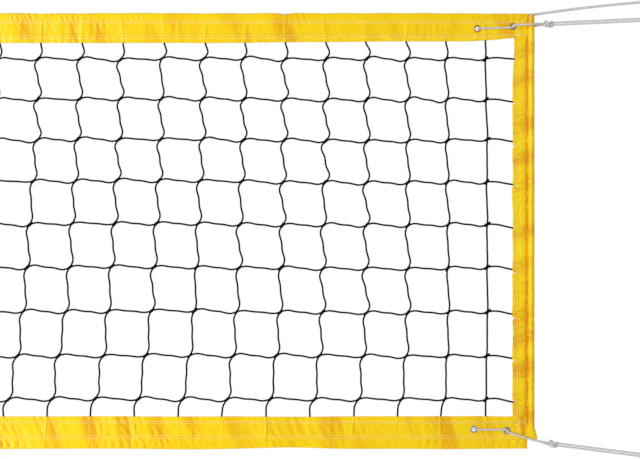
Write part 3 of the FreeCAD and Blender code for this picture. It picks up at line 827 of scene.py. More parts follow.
@dataclass
class Mesh:
    """The black mesh: upright cords, level cords, and a knot wherever two of them cross."""

    layout: MeshLayout
    finishes: Finishes
    radius: float = 2.1 * MM
    apart: float = 1.05 * MM
    upright_bow: float = 7.6 * MM
    level_bow: float = 4.6 * MM
    steps: int = 14
    sides: int = 8
    knot_half_length: float = 8.8 * MM
    knot_half_width: float = 3.3 * MM
    knot_angle: float = 43.0
    side_pocket: float = 4.207
    # Heights where the upright cords end in the two bands, and where the bands' forks open.
    top_end: float = -0.062
    foot_end: float = -0.954
    top_mouth: float = -0.070
    foot_mouth: float = -0.947

    def wave(self, share: np.ndarray) -> np.ndarray:
        """A cord's bow between two knots: one way, then the other, and steep at the knots."""
        return (np.sin(2 * math.pi * share) + 0.42 * np.sin(4 * math.pi * share)) / 1.27

    def strand(
        self, anchors: np.ndarray, bows: np.ndarray, upright: bool, depth: float
    ) -> np.ndarray:
        """The smooth line of a cord through its anchors.

        Args:
            anchors: X and Z of the cord's end, its knots and its other end.
            bows: How far it bows out between each two anchors.
            upright: Whether it bows sideways, and not up and down.
            depth: Its Y between the knots.

        Returns:
            Points of the line.
        """
        points = []
        last = len(anchors) - 2
        for number in range(last + 1):
            start = 0.5 if number == 0 else 0.0
            stop = 0.5 if number == last else 1.0
            count = self.steps if stop - start == 1.0 else self.steps // 2
            share = np.linspace(0, 1, count, endpoint=False)
            place = anchors[number] + (anchors[number + 1] - anchors[number]) * share[:, None]
            bow = bows[number] * self.wave(start + (stop - start) * share)
            place[:, 0 if upright else 1] += -bow if upright else bow
            points.append(place)
        points.append(anchors[-1][None, :])
        flat = np.concatenate(points)
        return np.stack([flat[:, 0], np.full(len(flat), depth), flat[:, 1]], -1)

    def skin(self, name: str, lines: list[np.ndarray]) -> bpy.types.Object:
        """One piece from many cords.

        Args:
            name: The piece's name.
            lines: The cords' lines.

        Returns:
            The piece.
        """
        tubes = [tube(line, np.array(self.radius), self.sides) for line in lines]
        points, faces = gather([(made, skin) for made, skin, _ in tubes])
        piece = new_piece(name, points, faces, self.finishes.cord, 60)
        add_map(piece, np.concatenate([values for _, _, values in tubes]))
        return piece

    def upright_lines(self, knots: np.ndarray) -> list[np.ndarray]:
        """Lines of the upright cords, from inside the top band to inside the bottom band."""
        source = np.random.default_rng(5)
        calm = np.abs(self.layout.calm())
        fall = np.linspace(1.12, 0.72, self.layout.rows + 1)[None, :]
        varied = source.normal(1.0, 0.16, (len(knots), self.layout.rows + 1))
        bows = self.upright_bow * calm**1.4 * fall * varied
        tops, feet = self.layout.entries(self.layout.top), self.layout.entries(self.layout.foot)
        lines = []
        for column, row in enumerate(knots):
            first, last = [[tops[column], self.top_end]], [[feet[column], self.foot_end]]
            anchors = np.concatenate([first, row, last])
            line = self.strand(anchors, bows[column], True, -self.apart)
            clear = np.minimum(self.top_mouth - line[:, 2], line[:, 2] - self.foot_mouth)
            line[:, 1] *= smooth_step(clear / 0.012)
            lines.append(line)
        return lines

    def level_lines(self, knots: np.ndarray) -> list[np.ndarray]:
        """Lines of the level cords, from inside one side band to inside the other."""
        source = np.random.default_rng(6)
        lines = []
        for row in range(self.layout.rows):
            through = knots[:, row]
            drop = 0.0 if row == 0 else source.uniform(5, 11) * MM
            left = [[-self.side_pocket, through[0, 1] - drop * 0.5]]
            right = [[self.side_pocket, through[-1, 1] - drop]]
            anchors = np.concatenate([left, through, right])
            bows = self.level_bow * source.normal(1.0, 0.2, len(anchors) - 1)
            bows[-1] *= 0.7
            lines.append(self.strand(anchors, bows, False, self.apart))
        return lines

    def one_knot(self) -> np.ndarray:
        """Shapes one knot: a slim bead with a waist where the two cords grip each other."""
        pick_none()
        bpy.ops.mesh.primitive_uv_sphere_add(segments=8, ring_count=9, radius=1.0)
        bead = bpy.context.object
        bpy.ops.object.mode_set(mode="EDIT")
        bpy.ops.mesh.select_all(action="SELECT")
        bpy.ops.transform.resize(
            value=(self.knot_half_width, self.knot_half_width, self.knot_half_length),
            center_override=(0, 0, 0),
        )
        bpy.ops.object.mode_set(mode="OBJECT")
        for low, high, scale in ((-0.15, 0.15, 0.86), (0.35, 0.65, 1.12), (-0.65, -0.35, 1.12)):
            for vertex in bead.data.vertices:
                share = vertex.co.z / self.knot_half_length
                vertex.select = low < share < high
            bpy.ops.object.mode_set(mode="EDIT")
            bpy.ops.transform.resize(value=(scale, scale, 1), center_override=(0, 0, 0))
            bpy.ops.object.mode_set(mode="OBJECT")
        return bead

    def beads(self, knots: np.ndarray) -> bpy.types.Object:
        """Copies the knot to each crossing, each turned and sized a little differently."""
        bead = self.one_knot()
        shape = np.array([vertex.co for vertex in bead.data.vertices])
        skin = [tuple(polygon.vertices) for polygon in bead.data.polygons]
        bpy.data.objects.remove(bead)
        source = np.random.default_rng(8)
        shells = []
        for x, z in knots.reshape(-1, 2):
            tilt = math.radians(90 - self.knot_angle + source.normal(0, 6))
            size = source.normal(1.0, 0.06)
            cosine, sine = math.cos(tilt), math.sin(tilt)
            turn = np.array([[cosine, 0, sine], [0, 1, 0], [-sine, 0, cosine]])
            shells.append((shape @ turn.T * size + np.array([x, 0, z]), skin))
        points, faces = gather(shells)
        return new_piece("mesh_knots", points, faces, self.finishes.cord, 80)

    def build(self) -> None:
        """Makes the mesh's three pieces."""
        knots = self.layout.knots()
        uprights = self.skin("mesh_uprights", self.upright_lines(knots))
        settle(uprights, NET_BODY, Slot.NET_CORD, "mesh_upright_cords")
        levels = self.skin("mesh_levels", self.level_lines(knots))
        settle(levels, NET_BODY, Slot.NET_CORD, "mesh_level_cords")
        settle(self.beads(knots), NET_BODY, Slot.NET_CORD)


@dataclass
class Eyelet:
    """One eyelet's place on its band, with the puckers that the rope's pull puts round it."""

    x: float
    z: float
    pull: float

    def puckers(self, x: np.ndarray, z: np.ndarray) -> np.ndarray:
        """Heights of the small folds that fan out from the eyelet.

        Args:
            x: Places along the net.
            z: Heights.

        Returns:
            Heights of the folds, in metres.
        """
        across, up = np.abs(x) - self.x, z - self.z
        away = np.hypot(across, up)
        bearing = np.arctan2(up, across)
        folds = np.cos(11 * bearing + 0.9 * np.sin(3 * bearing + self.x * 40))
        toward = 0.55 + 0.45 * np.cos(bearing)
        fade = np.exp(-np.clip(away - 0.009, 0, None) / 0.016) * (away > 0.006)
        return self.pull * folds * toward * fade


TOP_EYELETS = (Eyelet(4.199, -0.032, 0.75 * MM), Eyelet(4.116, -0.037, 0.4 * MM))
BOTTOM_EYELETS = (Eyelet(4.1855, -0.980, 0.75 * MM), Eyelet(4.108, -0.977, 0.55 * MM))


@dataclass
class Seam:
    """The stitch that every seam repeats: a slim bar, raised in the middle."""

    length: float = 3.6 * MM
    pitch: float = 4.7 * MM
    width: float = 1.1 * MM
    thick: float = 0.6 * MM

    def placed(self, centres: np.ndarray, angles: np.ndarray) -> np.ndarray:
        """Puts a stitch at each place.

        Args:
            centres: The places.
            angles: How far each stitch is turned from lying along X, in radians.

        Returns:
            The stitches' points, stitch by stitch.
        """
        shape = np.array(
            [[-1, 0, 0], [1, 0, 0], [-0.55, 0, -1], [0.55, 0, -1]]
            + [[0.55, 0, 1], [-0.55, 0, 1], [0, -1, 0], [0, 1, 0]]
        ) * np.array([self.length / 2, self.thick, self.width / 2])
        cosine, sine = np.cos(angles)[:, None], np.sin(angles)[:, None]
        x = shape[None, :, 0] * cosine - shape[None, :, 2] * sine
        z = shape[None, :, 0] * sine + shape[None, :, 2] * cosine
        y = np.broadcast_to(shape[None, :, 1], x.shape)
        return (centres[:, None, :] + np.stack([x, y, z], -1)).reshape(-1, 3)

    def faces(self, points: int) -> list[tuple[int, ...]]:
        """The faces of as many stitches as the points make."""
        skin = [(0, 2, 6), (2, 3, 6), (3, 1, 6), (1, 4, 6), (4, 5, 6), (5, 0, 6)]
        skin += [(b, a, 7) for a, b, _ in skin]
        return [tuple(first + i for i in face) for first in range(0, points, 8) for face in skin]


END_SEAMS = (4.2092, 4.2140)


@dataclass
class Band:
    """A long band of doubled cloth: its shape, wrinkles, stitching and eyelet puckers."""

    name: str
    node: str
    layout: MeshLayout
    finishes: Finishes
    seed: int
    rows: tuple[float, ...]
    crease_at: float
    eyelets: tuple[Eyelet, ...]
    seams: tuple[float, ...]
    end_seam: tuple[float, float]
    lean: tuple[float, float]
    flat_width: float
    hole: float = 5.5 * MM

    def half(self, height: np.ndarray) -> np.ndarray:
        """Half the band's thickness at a height, before its wrinkles."""
        raise NotImplementedError

    def edge_shift(self, x: np.ndarray, height: np.ndarray) -> np.ndarray:
        """How far the cloth is moved up at a place, so that its edges aren't ruled lines."""
        raise NotImplementedError

    def gathers(self, x: np.ndarray, height: np.ndarray, seed: int) -> np.ndarray:
        """Heights of the close folds that the stitching gathers."""
        raise NotImplementedError

    def creases(self) -> np.ndarray:
        """X of the ridge that each upright cord raises in the band."""
        return self.layout.entries(self.crease_at)

    def ridge_fade(self, height: np.ndarray) -> np.ndarray:
        """How high the cords' ridges stand at a height, from 0 to 1."""
        raise NotImplementedError

    def stations(self) -> np.ndarray:
        """Places along the band where its section is set, closer at the creases and at the ends."""
        creases = self.creases()
        close = np.array([-9, -6.5, -4.2, -2.6, -1.3, -0.4, 0.5, 1.6, 3.6, 7]) * MM
        sparse = np.array([-8, -4.2, -1.3, 0.3, 2.5]) * MM
        places = []
        for crease in creases:
            places.append(crease + (close if abs(crease) > 2.85 else sparse))
        for left, right in zip(creases, creases[1:]):
            fine = 2.8 * MM if max(abs(left), abs(right)) > 2.95 else 15 * MM
            places.append(np.arange(left + 10 * MM, right - 11 * MM, fine))
        for end in (-1, 1):
            places.append(end * np.arange(creases[-1] + 10 * MM, BAND_END - 1.5 * MM, 2.6 * MM))
        places.append(np.array([-BAND_END, BAND_END]))
        every = np.unique(np.round(np.concatenate(places), 6))
        return every[np.concatenate([[True], np.diff(every) > 0.5 * MM])]

    def slack(self, x: np.ndarray) -> np.ndarray:
        """How loosely the cloth hangs.

        Args:
            x: Places along the band.

        Returns:
            1 along the net, 0.5 near its ends where it is tight, and 1 again at the corners.
        """
        away = np.abs(x)
        middle, corner = smooth_step((3.50 - away) / 0.35), smooth_step((away - 4.203) / 0.012)
        return 0.5 + 0.5 * middle + 0.5 * corner

    def calm(self, x: np.ndarray, height: np.ndarray) -> np.ndarray:
        """Finds where the eyelets press the cloth flat.

        Args:
            x: Places along the band.
            height: Heights.

        Returns:
            0 under an eyelet's flange and 1 away from it.
        """
        held = 1.0
        for eyelet in self.eyelets:
            away = np.hypot(np.abs(x) - eyelet.x, height - eyelet.z)
            held = held * smooth_step((away - 0.0085) / 0.006)
        return held

    def sway(self, x: np.ndarray, height: np.ndarray) -> np.ndarray:
        """How far the whole cloth, front and back, stands towards the front.

        Args:
            x: Places along the band.
            height: Heights.

        Returns:
            Distances, in metres.
        """
        broad = 0.50 * MM * ripples(x, height, self.seed + 2, (0.040, 0.120), (-0.3, 0.8))
        patch = 0.6 + 0.5 * ripples(x, height, self.seed + 1, (0.12, 0.5), NO_SLANT, 5)
        hanging = 0.40 * MM * ripples(x, height, self.seed + 7, (0.014, 0.032), self.lean, 11)
        hanging = hanging * np.clip(patch, 0.1, 1.3)
        return (broad + hanging) * self.slack(x) * self.calm(x, height) * self.ridge_fade(height)

    def ridges(self, x: np.ndarray, height: np.ndarray, seed: int) -> np.ndarray:
        """Raises a ridge over each cord inside, with a dip beside it.

        Args:
            x: Places along the band.
            height: Heights.
            seed: Varies the ridges from face to face.

        Returns:
            Heights of the ridges, in metres.
        """
        creases = self.creases()
        index = np.clip(np.searchsorted(creases, x), 1, len(creases) - 1)
        left, right = creases[index - 1], creases[index]
        nearest = np.where(x - left < right - x, left, right)
        wander = 0.10 * np.sin(nearest * 53.0) * (height - self.crease_at)
        offset = (x - nearest - wander) / MM
        vary = 0.8 + 0.4 * np.sin(nearest * 37.0 + seed)
        crest = 0.95 * np.exp(-((offset / 1.5) ** 2)) + 0.30 * np.exp(-(((offset + 5) / 3) ** 2))
        dip = -0.50 * np.exp(-(((offset - 2.7) / 1.1) ** 2))
        return (crest + dip) * vary * MM * self.ridge_fade(height)

    def folds(self, x: np.ndarray, height: np.ndarray, front: bool) -> np.ndarray:
        """How far one face stands out from its plain section.

        Args:
            x: Places along the band.
            height: Heights.
            front: Whether it is the front face.

        Returns:
            Distances outward, in metres.
        """
        seed = self.seed + (0 if front else 50)
        patch = 0.5 + 0.5 * np.clip(ripples(x, height, seed + 1, (0.18, 0.6), NO_SLANT, 4), -1, 1)
        fine = 0.22 * MM * ripples(x, height, seed + 3, (0.010, 0.019), (-0.6, 0.9)) * patch
        loose = (fine + self.gathers(x, height, seed)) * self.slack(x)
        total = (loose + self.ridges(x, height, seed)) * self.calm(x, height)
        for eyelet in self.eyelets:
            total = total + eyelet.puckers(x, height)
        pinch = sum(np.exp(-(((height - seam) / (1.3 * MM)) ** 2)) for seam in self.seams)
        return total * (1 - 0.5 * np.clip(pinch, 0, 1)) - 0.2 * MM * pinch

    def face(self, x: np.ndarray, height: np.ndarray, front: bool) -> np.ndarray:
        """Y of the band's front or back face.

        Args:
            x: Places along the band.
            height: Heights.
            front: Whether it is the front face.

        Returns:
            Y, in metres.
        """
        out = np.maximum(self.half(height) + self.folds(x, height, front), 0.5 * MM)
        return (-out if front else out) - self.sway(x, height)

    def section(self) -> tuple[np.ndarray, np.ndarray, np.ndarray]:
        """The band's closed section.

        Returns:
            Heights, plain Y, and 1 for the front face, 2 for the back face and 0 for what is
            inside the fork.
        """
        raise NotImplementedError

    def skin(self) -> bpy.types.Object:
        """The band's cloth as one closed piece."""
        heights, plain, kinds = self.section()
        x = self.stations()[:, None]
        z = heights[None, :]
        y = np.where(kinds[None, :] == 1, self.face(x, z, True), self.face(x, z, False))
        y = np.where(kinds[None, :] == 0, plain[None, :] - self.sway(x, z), y)
        shift = self.edge_shift(x, z)
        points = np.stack([np.broadcast_to(x, y.shape), y, z + shift], -1)
        faces = ring_faces(len(x), len(heights))
        flat = points.reshape(-1, 3)
        cloth = new_piece(self.name, flat, outward(flat, faces), self.finishes.cloth, 55)
        # Painted shade and highlight: how far each point stands out sets the cloth's colour, orange
        # in the hollows and pale on the crests.
        raised = self.folds(x, z, True) + self.sway(x, z) * np.where(kinds[None, :] == 2, -1, 1)
        paint_fold_shade(cloth, raised)
        return cloth

    def stitching(self) -> bpy.types.Object:
        """The rows of stitches on both faces, each stitch a slim raised bar."""
        bar = Seam()
        source = np.random.default_rng(self.seed + 9)
        across, heights, upright = [], [], []
        for seam in self.seams:
            places = np.arange(-BAND_END + 6 * MM, BAND_END - 4 * MM, bar.pitch)
            across.append(places)
            heights.append(np.full(len(places), seam))
            upright.append(np.zeros(len(places)))
        for side in Side:
            for seam in END_SEAMS:
                places = np.arange(*self.end_seam, -bar.pitch)
                across.append(np.full(len(places), side.value * seam))
                heights.append(places)
                upright.append(np.ones(len(places)))
        x, z, turned = (np.concatenate(values) for values in (across, heights, upright))
        x, z = x + source.normal(0, 0.13 * MM, len(x)), z + source.normal(0, 0.13 * MM, len(x))
        stitches = []
        for front in (True, False):
            y = self.face(x, z, front)
            centre = np.stack([x, y, z + self.edge_shift(x, z)], -1)
            stitches.append(bar.placed(centre, turned * math.pi / 2))
        points = np.concatenate(stitches)
        name, skin = f"{self.name}_stitches", bar.faces(len(points))
        return new_piece(name, points, skin, self.finishes.thread, 80)

    def build(self) -> bpy.types.Object:
        cloth = self.finish(self.skin())
        settle(cloth, NET_BODY, Slot.CLOTH, self.node)
        stitches = settle(self.stitching(), NET_BODY, Slot.CLOTH)
        return cloth

    def finish(self, cloth: bpy.types.Object) -> bpy.types.Object:
        """Bores the eyelets' holes."""
        self.cut(cloth, self.punches())
        return cloth

    def punches(self) -> list[bpy.types.Object]:
        """Rods that bore a hole through the cloth at each eyelet."""
        rods = []
        for eyelet in self.eyelets:
            for side in Side:
                pick_none()
                bpy.ops.mesh.primitive_cylinder_add(
                    vertices=32,
                    radius=self.hole,
                    depth=30 * MM,
                    location=(side.value * eyelet.x, 0, eyelet.z),
                    rotation=(math.pi / 2, 0, 0),
                )
                rods.append(bpy.context.object)
        return rods

    def cut(self, cloth: bpy.types.Object, tools: list[bpy.types.Object]) -> None:
        """Cuts tools that don't touch each other out of the cloth, and removes them.

        Args:
            cloth: The cloth.
            tools: Closed shapes to cut away.
        """
        pick(*tools)
        bpy.ops.object.join()
        tool = bpy.context.object
        pick(cloth)
        step = cloth.modifiers.new("cut", "BOOLEAN")
        step.operation = "DIFFERENCE"
        step.object = tool
        bpy.ops.object.modifier_apply(modifier=step.name)
        bpy.data.objects.remove(tool)
        smooth(cloth, 55)


@dataclass
class TopBand(Band):
    """The top band: a cable tunnel at its top edge and a fork at its foot that holds the mesh."""

    tunnel: float = 4.3 * MM

    def ridge_fade(self, height: np.ndarray) -> np.ndarray:
        """The ridges stand high at the foot and low over the tunnel."""
        return 0.25 + 0.75 * smooth_step((-0.014 - height) / 0.016)

    def half(self, height: np.ndarray) -> np.ndarray:
        """Half the band's thickness at a height: the tunnel, the flat cloth, then the fork."""
        drop, deep = -height / MM, self.tunnel / MM
        rounded = np.sqrt(np.clip(deep**2 - (drop - deep) ** 2, 0, None))
        flat = np.interp(drop, [deep, 20, 49, 53, 70], [deep, 1.0, 1.0, 2.8, 2.8])
        return MM * np.where(drop < deep, rounded, flat)

    def edge_shift(self, x: np.ndarray, height: np.ndarray) -> np.ndarray:
        """Scallops the top edge between the cords, and draws the foot up beside the side bands."""
        creases = self.creases()
        phase = np.interp(x, creases, np.arange(len(creases)))
        swell = 0.9 * MM * np.abs(np.sin(math.pi * phase)) - 0.8 * MM
        wander = 0.6 * MM * ripples(x, 0 * x, self.seed + 20, (0.15, 0.7), NO_SLANT, 5)
        dips = sum(np.exp(-(((np.abs(x) - at) / 0.009) ** 2)) for at in (3.664, 2.71, 1.9))
        notch = -2.8 * MM * dips
        top = smooth_step(1 + height / 0.026)
        foot = smooth_step((-0.046 - height) / 0.024)
        away = np.abs(x)
        places, rises = [3.3, 3.47, 3.86, 4.10, 4.16, 4.20], [0, -0.5, 3.2, 4.0, 7.0, 11.5]
        rise = np.interp(away, places, rises) * MM
        sway = 0.5 * MM * ripples(x, 0 * x, self.seed + 21, (0.25, 0.9), NO_SLANT, 4)
        return top * (swell + wander + notch) + foot * (rise + sway)

    def gathers(self, x: np.ndarray, height: np.ndarray, seed: int) -> np.ndarray:
        """Close slanting folds between the tunnel's crest and its stitching."""
        patch = 0.55 + 0.6 * ripples(x, 0 * height, seed + 4, (0.09, 0.45), NO_SLANT, 5)
        patch = np.clip(patch, 0.0, 1.3)
        slanting = ripples(x + 0.45 * height, 0 * height, seed + 5, (0.009, 0.015), NO_SLANT, 5)
        zone = smooth_step((-0.002 - height) / 0.008) * smooth_step((height + 0.0205) / 0.003)
        below = smooth_step((-0.0235 - height) / 0.002) * smooth_step((height + 0.036) / 0.010)
        return patch * slanting * (0.5 * zone + 0.28 * below) * MM

    def section(self) -> tuple[np.ndarray, np.ndarray, np.ndarray]:
        """The band's closed section, from the crest down the front and up the back."""
        crest = -self.tunnel * (1 - np.cos(np.radians([14, 32, 50, 70])))
        face = np.concatenate([crest, np.array(self.rows) * MM])
        back = np.concatenate([crest, np.array(self.rows)[::2] * MM, face[-1:]])
        heights = np.concatenate([[0.0], face, [-0.070, -0.053, -0.053, -0.070], back[::-1]])
        plain = np.concatenate([[0.0], 0 * face, np.array([-1.8, -1.8, 1.8, 1.8]) * MM, 0 * back])
        kinds = np.concatenate([[0], 1 + 0 * face, [0, 0, 0, 0], 2 + 0 * back]).astype(int)
        return heights, plain, kinds

    def finish(self, cloth: bpy.types.Object) -> bpy.types.Object:
        """Bores the eyelets' holes and the tunnel's ends, and cuts the windows for the cable."""
        rods = [self.cutter(side, 4.150, self.tunnel - 1.1 * MM) for side in Side]
        self.cut(cloth, self.punches() + rods)
        self.cut(cloth, [self.window(side) for side in Side])
        return cloth

    def cutter(self, side: Side, start: float, radius: float) -> bpy.types.Object:
        """A rod that bores the tunnel from its end inward.

        Args:
            side: The end of the net.
            start: How far from the net's middle the rod ends.
            radius: Its radius.

        Returns:
            The rod.
        """
        pick_none()
        length = BAND_END + 0.02 - start
        bpy.ops.mesh.primitive_cylinder_add(
            vertices=20,
            radius=radius,
            depth=length,
            location=(side.value * (start + length / 2), 0, -self.tunnel),
            rotation=(0, math.pi / 2, 0),
        )
        return bpy.context.object

    def window(self, side: Side) -> bpy.types.Object:
        """A block that cuts the tunnel's back open beside the net's end."""
        pick_none()
        bpy.ops.mesh.primitive_cube_add(
            size=1.0, location=(side.value * 4.215, 0.011, -0.0035), scale=(0.070, 0.020, 0.014)
        )
        return bpy.context.object


@dataclass
class BottomBand(Band):
    """The bottom band: a fork at its top edge that holds the mesh and a flat hem at its foot."""

    foot: float = -1.023

    def ridge_fade(self, height: np.ndarray) -> np.ndarray:
        """The ridges stand high at the top edge and lower over the hem."""
        return 0.55 + 0.45 * smooth_step((height + 1.000) / 0.012)

    def half(self, height: np.ndarray) -> np.ndarray:
        """Half the band's thickness at a height: the fork, the flat cloth, then the hem."""
        up = (height - self.foot) / MM
        halves = [0.6, 1.3, 1.6, 1.0, 1.0, 2.8, 2.8]
        return MM * np.interp(up, [0, 0.5, 1.6, 26, 58, 62, 76], halves)

    def edge_shift(self, x: np.ndarray, height: np.ndarray) -> np.ndarray:
        """Lets the band's two edges wander a little."""
        top = smooth_step((height + 0.975) / 0.028)
        low = smooth_step((-0.990 - height) / 0.030)
        upper = 0.7 * MM * ripples(x, 0 * x, self.seed + 20, (0.2, 0.8), NO_SLANT, 5)
        lower = 0.9 * MM * ripples(x, 0 * x, self.seed + 21, (0.12, 0.7), NO_SLANT, 5)
        lifted = 2.6 * MM * np.exp(-(((np.abs(x) - 3.70) / 0.09) ** 2))
        return top * upper + low * (lower + lifted)

    def gathers(self, x: np.ndarray, height: np.ndarray, seed: int) -> np.ndarray:
        """Slanting folds across the middle, and short arched ones under the hem's stitching."""
        patch = 0.5 + 0.7 * ripples(x, 0 * height, seed + 4, (0.10, 0.5), NO_SLANT, 5)
        patch = np.clip(patch, 0.0, 1.3)
        slanting = ripples(x, height, seed + 5, (0.013, 0.026), (0.3, 0.8), 6)
        short = ripples(x, height, seed + 6, (0.012, 0.020), (-0.5, 0.5), 5)
        middle = smooth_step((-0.9645 - height) / 0.003) * smooth_step((height + 0.9915) / 0.004)
        hem = smooth_step((-0.9985 - height) / 0.003) * smooth_step((height + 1.022) / 0.008)
        return patch * MM * (0.42 * slanting * middle + 0.62 * short * hem)

    def section(self) -> tuple[np.ndarray, np.ndarray, np.ndarray]:
        """The band's closed section, from its foot up the front and down the back."""
        face = np.array(self.rows) * MM
        back = np.concatenate([face[::2], face[-1:]])
        heights = np.concatenate([face, [-0.947, -0.961, -0.961, -0.947], back[::-1]])
        plain = np.concatenate([0 * face, np.array([-1.8, -1.8, 1.8, 1.8]) * MM, 0 * back])
        kinds = np.concatenate([1 + 0 * face, [0, 0, 0, 0], 2 + 0 * back]).astype(int)
        return heights, plain, kinds


TOP_ROWS = (
    -4.3, -6.5, -9, -11.5, -14, -16.3, -18, -19, -19.6, -20.4, -21.6, -22.8, -23.6, -24.4, -26,
    -28.5, -31.5, -34.5, -37.5, -40.5, -43.5, -46.5, -49, -51, -52.3, -53, -54, -56, -58, -59.6,
    -60.4, -61.4, -63.5, -66, -68.5, -70,
)
BOTTOM_ROWS = (
    -1023, -1022.3, -1021, -1018.5, -1015.5, -1012.5, -1009.5, -1006.5, -1003.5, -1001, -999,
    -998, -997.2, -996, -994, -992.8, -992, -991, -988.5, -985.5, -982.5, -979.5, -976.5, -973.5,
    -970.5, -967.5, -965, -963.8, -963, -961.8, -960, -959, -958.2, -956.5, -954, -951,
    -948.5, -947,
)


@dataclass
class SideBand:
    """A side band: the flap that takes the level cords' ends, and the pole's sleeve beside it."""

    side: Side
    finishes: Finishes
    flat: tuple[float, float] = (0.995, 0.094)
    seams: tuple[float, ...] = END_SEAMS
    sleeve_radius: float = 7.8 * MM
    sleeve_bore: float = 6.8 * MM
    sleeve_top: float = -0.005
    sleeve_foot: float = -0.972
    tip: float = -1.000
    flap_top: float = -0.052
    flap_foot: float = -0.952
    groove_shade: float = 4.2318
    lip_cloth: float = 1.0 * MM
    around: int = 32
    seed: int = 300
    # The back's wrinkles are the front's pattern read this much higher up.
    back_shift: float = 0.5

    def cord_ends(self) -> np.ndarray:
        """Heights where the level cords enter the flap."""
        return np.array([-108, -212, -313, -405, -502, -609, -717, -816, -911]) * MM

    def wrinkle(self, across: np.ndarray, height: np.ndarray) -> np.ndarray:
        """Small uneven folds of the flap.

        Args:
            across: Distances from the net's middle.
            height: Heights.

        Returns:
            Heights of the folds, in metres.
        """
        fine = 0.24 * MM * ripples(height, across, self.seed + 1, (0.010, 0.022), (-0.8, 0.8))
        broad = 0.40 * MM * ripples(height, across, self.seed + 2, (0.035, 0.12), (-0.8, 0.8))
        return fine + broad

    def front(self, across: np.ndarray, height: np.ndarray) -> np.ndarray:
        """How far the flap's face stands out from its middle.

        Args:
            across: Distance from the net's middle, in metres.
            height: Heights.

        Returns:
            Half the flap's thickness there, in metres.
        """
        plain = np.interp(
            across / MM,
            [4197, 4199, 4206, 4209, 4211.5, 4214, 4216.5, 4220, 4224, 4227, 4230, 4232.5, 4236],
            [2.0, 2.8, 3.0, 2.3, 2.7, 2.1, 2.9, 3.3, 3.2, 2.6, 1.5, 0.7, 0.6],
        )
        pinch = sum(np.exp(-(((across - seam) / (1.2 * MM)) ** 2)) for seam in self.seams)
        calm = smooth_step((4.231 - across) / 0.004)
        out = plain * MM + self.wrinkle(across, height) * calm * (1 - 0.5 * np.clip(pinch, 0, 1))
        over, under = smooth_step((height + 0.074) / 0.006), smooth_step((-0.943 - height) / 0.006)
        inside = np.maximum(over, under)
        return out * (1 - inside) + np.minimum(out, 1.55 * MM) * inside

    def inner_edge(self, height: np.ndarray) -> np.ndarray:
        """Runs the flap's inner edge towards the mesh between the cords, and back at each.

        Args:
            height: Heights.

        Returns:
            X of the edge.
        """
        wander = 0.8 * MM * ripples(height, 0 * height, self.seed + 3, (0.05, 0.22), NO_SLANT, 5)
        ends = self.cord_ends()
        nearest = np.min(np.abs(height[..., None] - ends), axis=-1)
        drawn = -1.2 * MM * np.exp(-((nearest / 0.022) ** 2))
        drawn += 4.0 * MM * np.exp(-((nearest / 0.0024) ** 2))
        corner = 3.2 * MM * smooth_step((height + 0.165) / 0.09)
        return 4.1992 + wander + drawn + corner

    def flap(self) -> tuple[np.ndarray, list]:
        """The flap's closed skin."""
        heights = np.arange(self.flap_top, self.flap_foot, -4 * MM)
        for end in self.cord_ends():
            heights = np.concatenate([heights, end + np.array([-5, -3, -1.5, 0, 1.5, 3, 5]) * MM])
        heights = np.unique(np.round(heights, 5))[::-1]
        heights = np.concatenate([heights[:1], heights[1:][np.abs(np.diff(heights)) > 0.7 * MM]])
        marks = np.array(
            [0, 1.4, 4, 7, 8.6, 9.4, 10.2, 11.4, 12.9, 13.9]
            + [14.8, 16.5, 19, 22, 25.5, 28.5, 31, 34, 36.4]
        )
        edge = self.inner_edge(heights)[:, None]
        share = (marks / marks[-1])[None, :]
        across = edge + (4.2352 - edge) * share
        z = np.broadcast_to(heights[:, None], across.shape)
        out = self.front(across, z)
        back = self.front(across, z + self.back_shift)
        front_face = np.stack([across, -out, z], -1)
        back_face = np.stack([across, back, z], -1)[:, ::-1]
        lip = []
        for reach, sign in ((0.2, 1), (11.0, 1), (11.0, -1), (0.2, -1)):
            room = np.minimum(out[:, :1], back[:, :1]) - self.lip_cloth
            y = sign * np.clip(room, 0.4 * MM, None)
            lip.append(np.stack([edge + reach * MM, y, z[:, :1]], -1))
        ring = np.concatenate([front_face, back_face, *lip], axis=1)
        points = ring.reshape(-1, 3)
        return points, ring_faces(ring.shape[0], ring.shape[1])

    def sleeve(self) -> tuple[np.ndarray, list]:
        """The sleeve's closed skin: outside, sewn-flat foot, and the pole's bore."""
        angle = 2 * math.pi * np.arange(self.around) / self.around
        rings = []
        heights = np.arange(self.sleeve_top, self.sleeve_foot, -7 * MM)
        heights = np.append(heights, self.sleeve_foot)
        for z in heights:
            swell = ripples(np.array(z), angle * 0.02, self.seed + 7, (0.03, 0.16), (-1, 1), 6)
            radius = self.sleeve_radius + 0.16 * MM * swell
            rings.append(self.ring(angle, SLEEVE_X, radius, radius, z))
        for share in np.linspace(0.12, 1.0, 9):
            ease = share**0.85
            z = self.sleeve_foot + (self.tip - self.sleeve_foot) * share
            wide = self.sleeve_radius + (10.0 * MM - self.sleeve_radius) * ease
            deep = self.sleeve_radius + (1.5 * MM - self.sleeve_radius) * ease
            centre = SLEEVE_X + 5 * MM * ease
            pleat = 1 + 0.05 * np.sin(5 * angle) * ease
            rings.append(self.ring(angle, centre, wide * pleat, deep * pleat, z))
        outer = np.stack(rings)
        count = len(outer)
        inner_heights = np.array([self.sleeve_top, -0.02, -0.3, -0.6, self.sleeve_foot + 1 * MM])
        bore = self.sleeve_bore
        inner = np.stack([self.ring(angle, SLEEVE_X, bore, bore, z) for z in inner_heights])
        points = np.concatenate([inner[::-1], outer]).reshape(-1, 3)
        return points, ring_faces(count + len(inner), self.around)

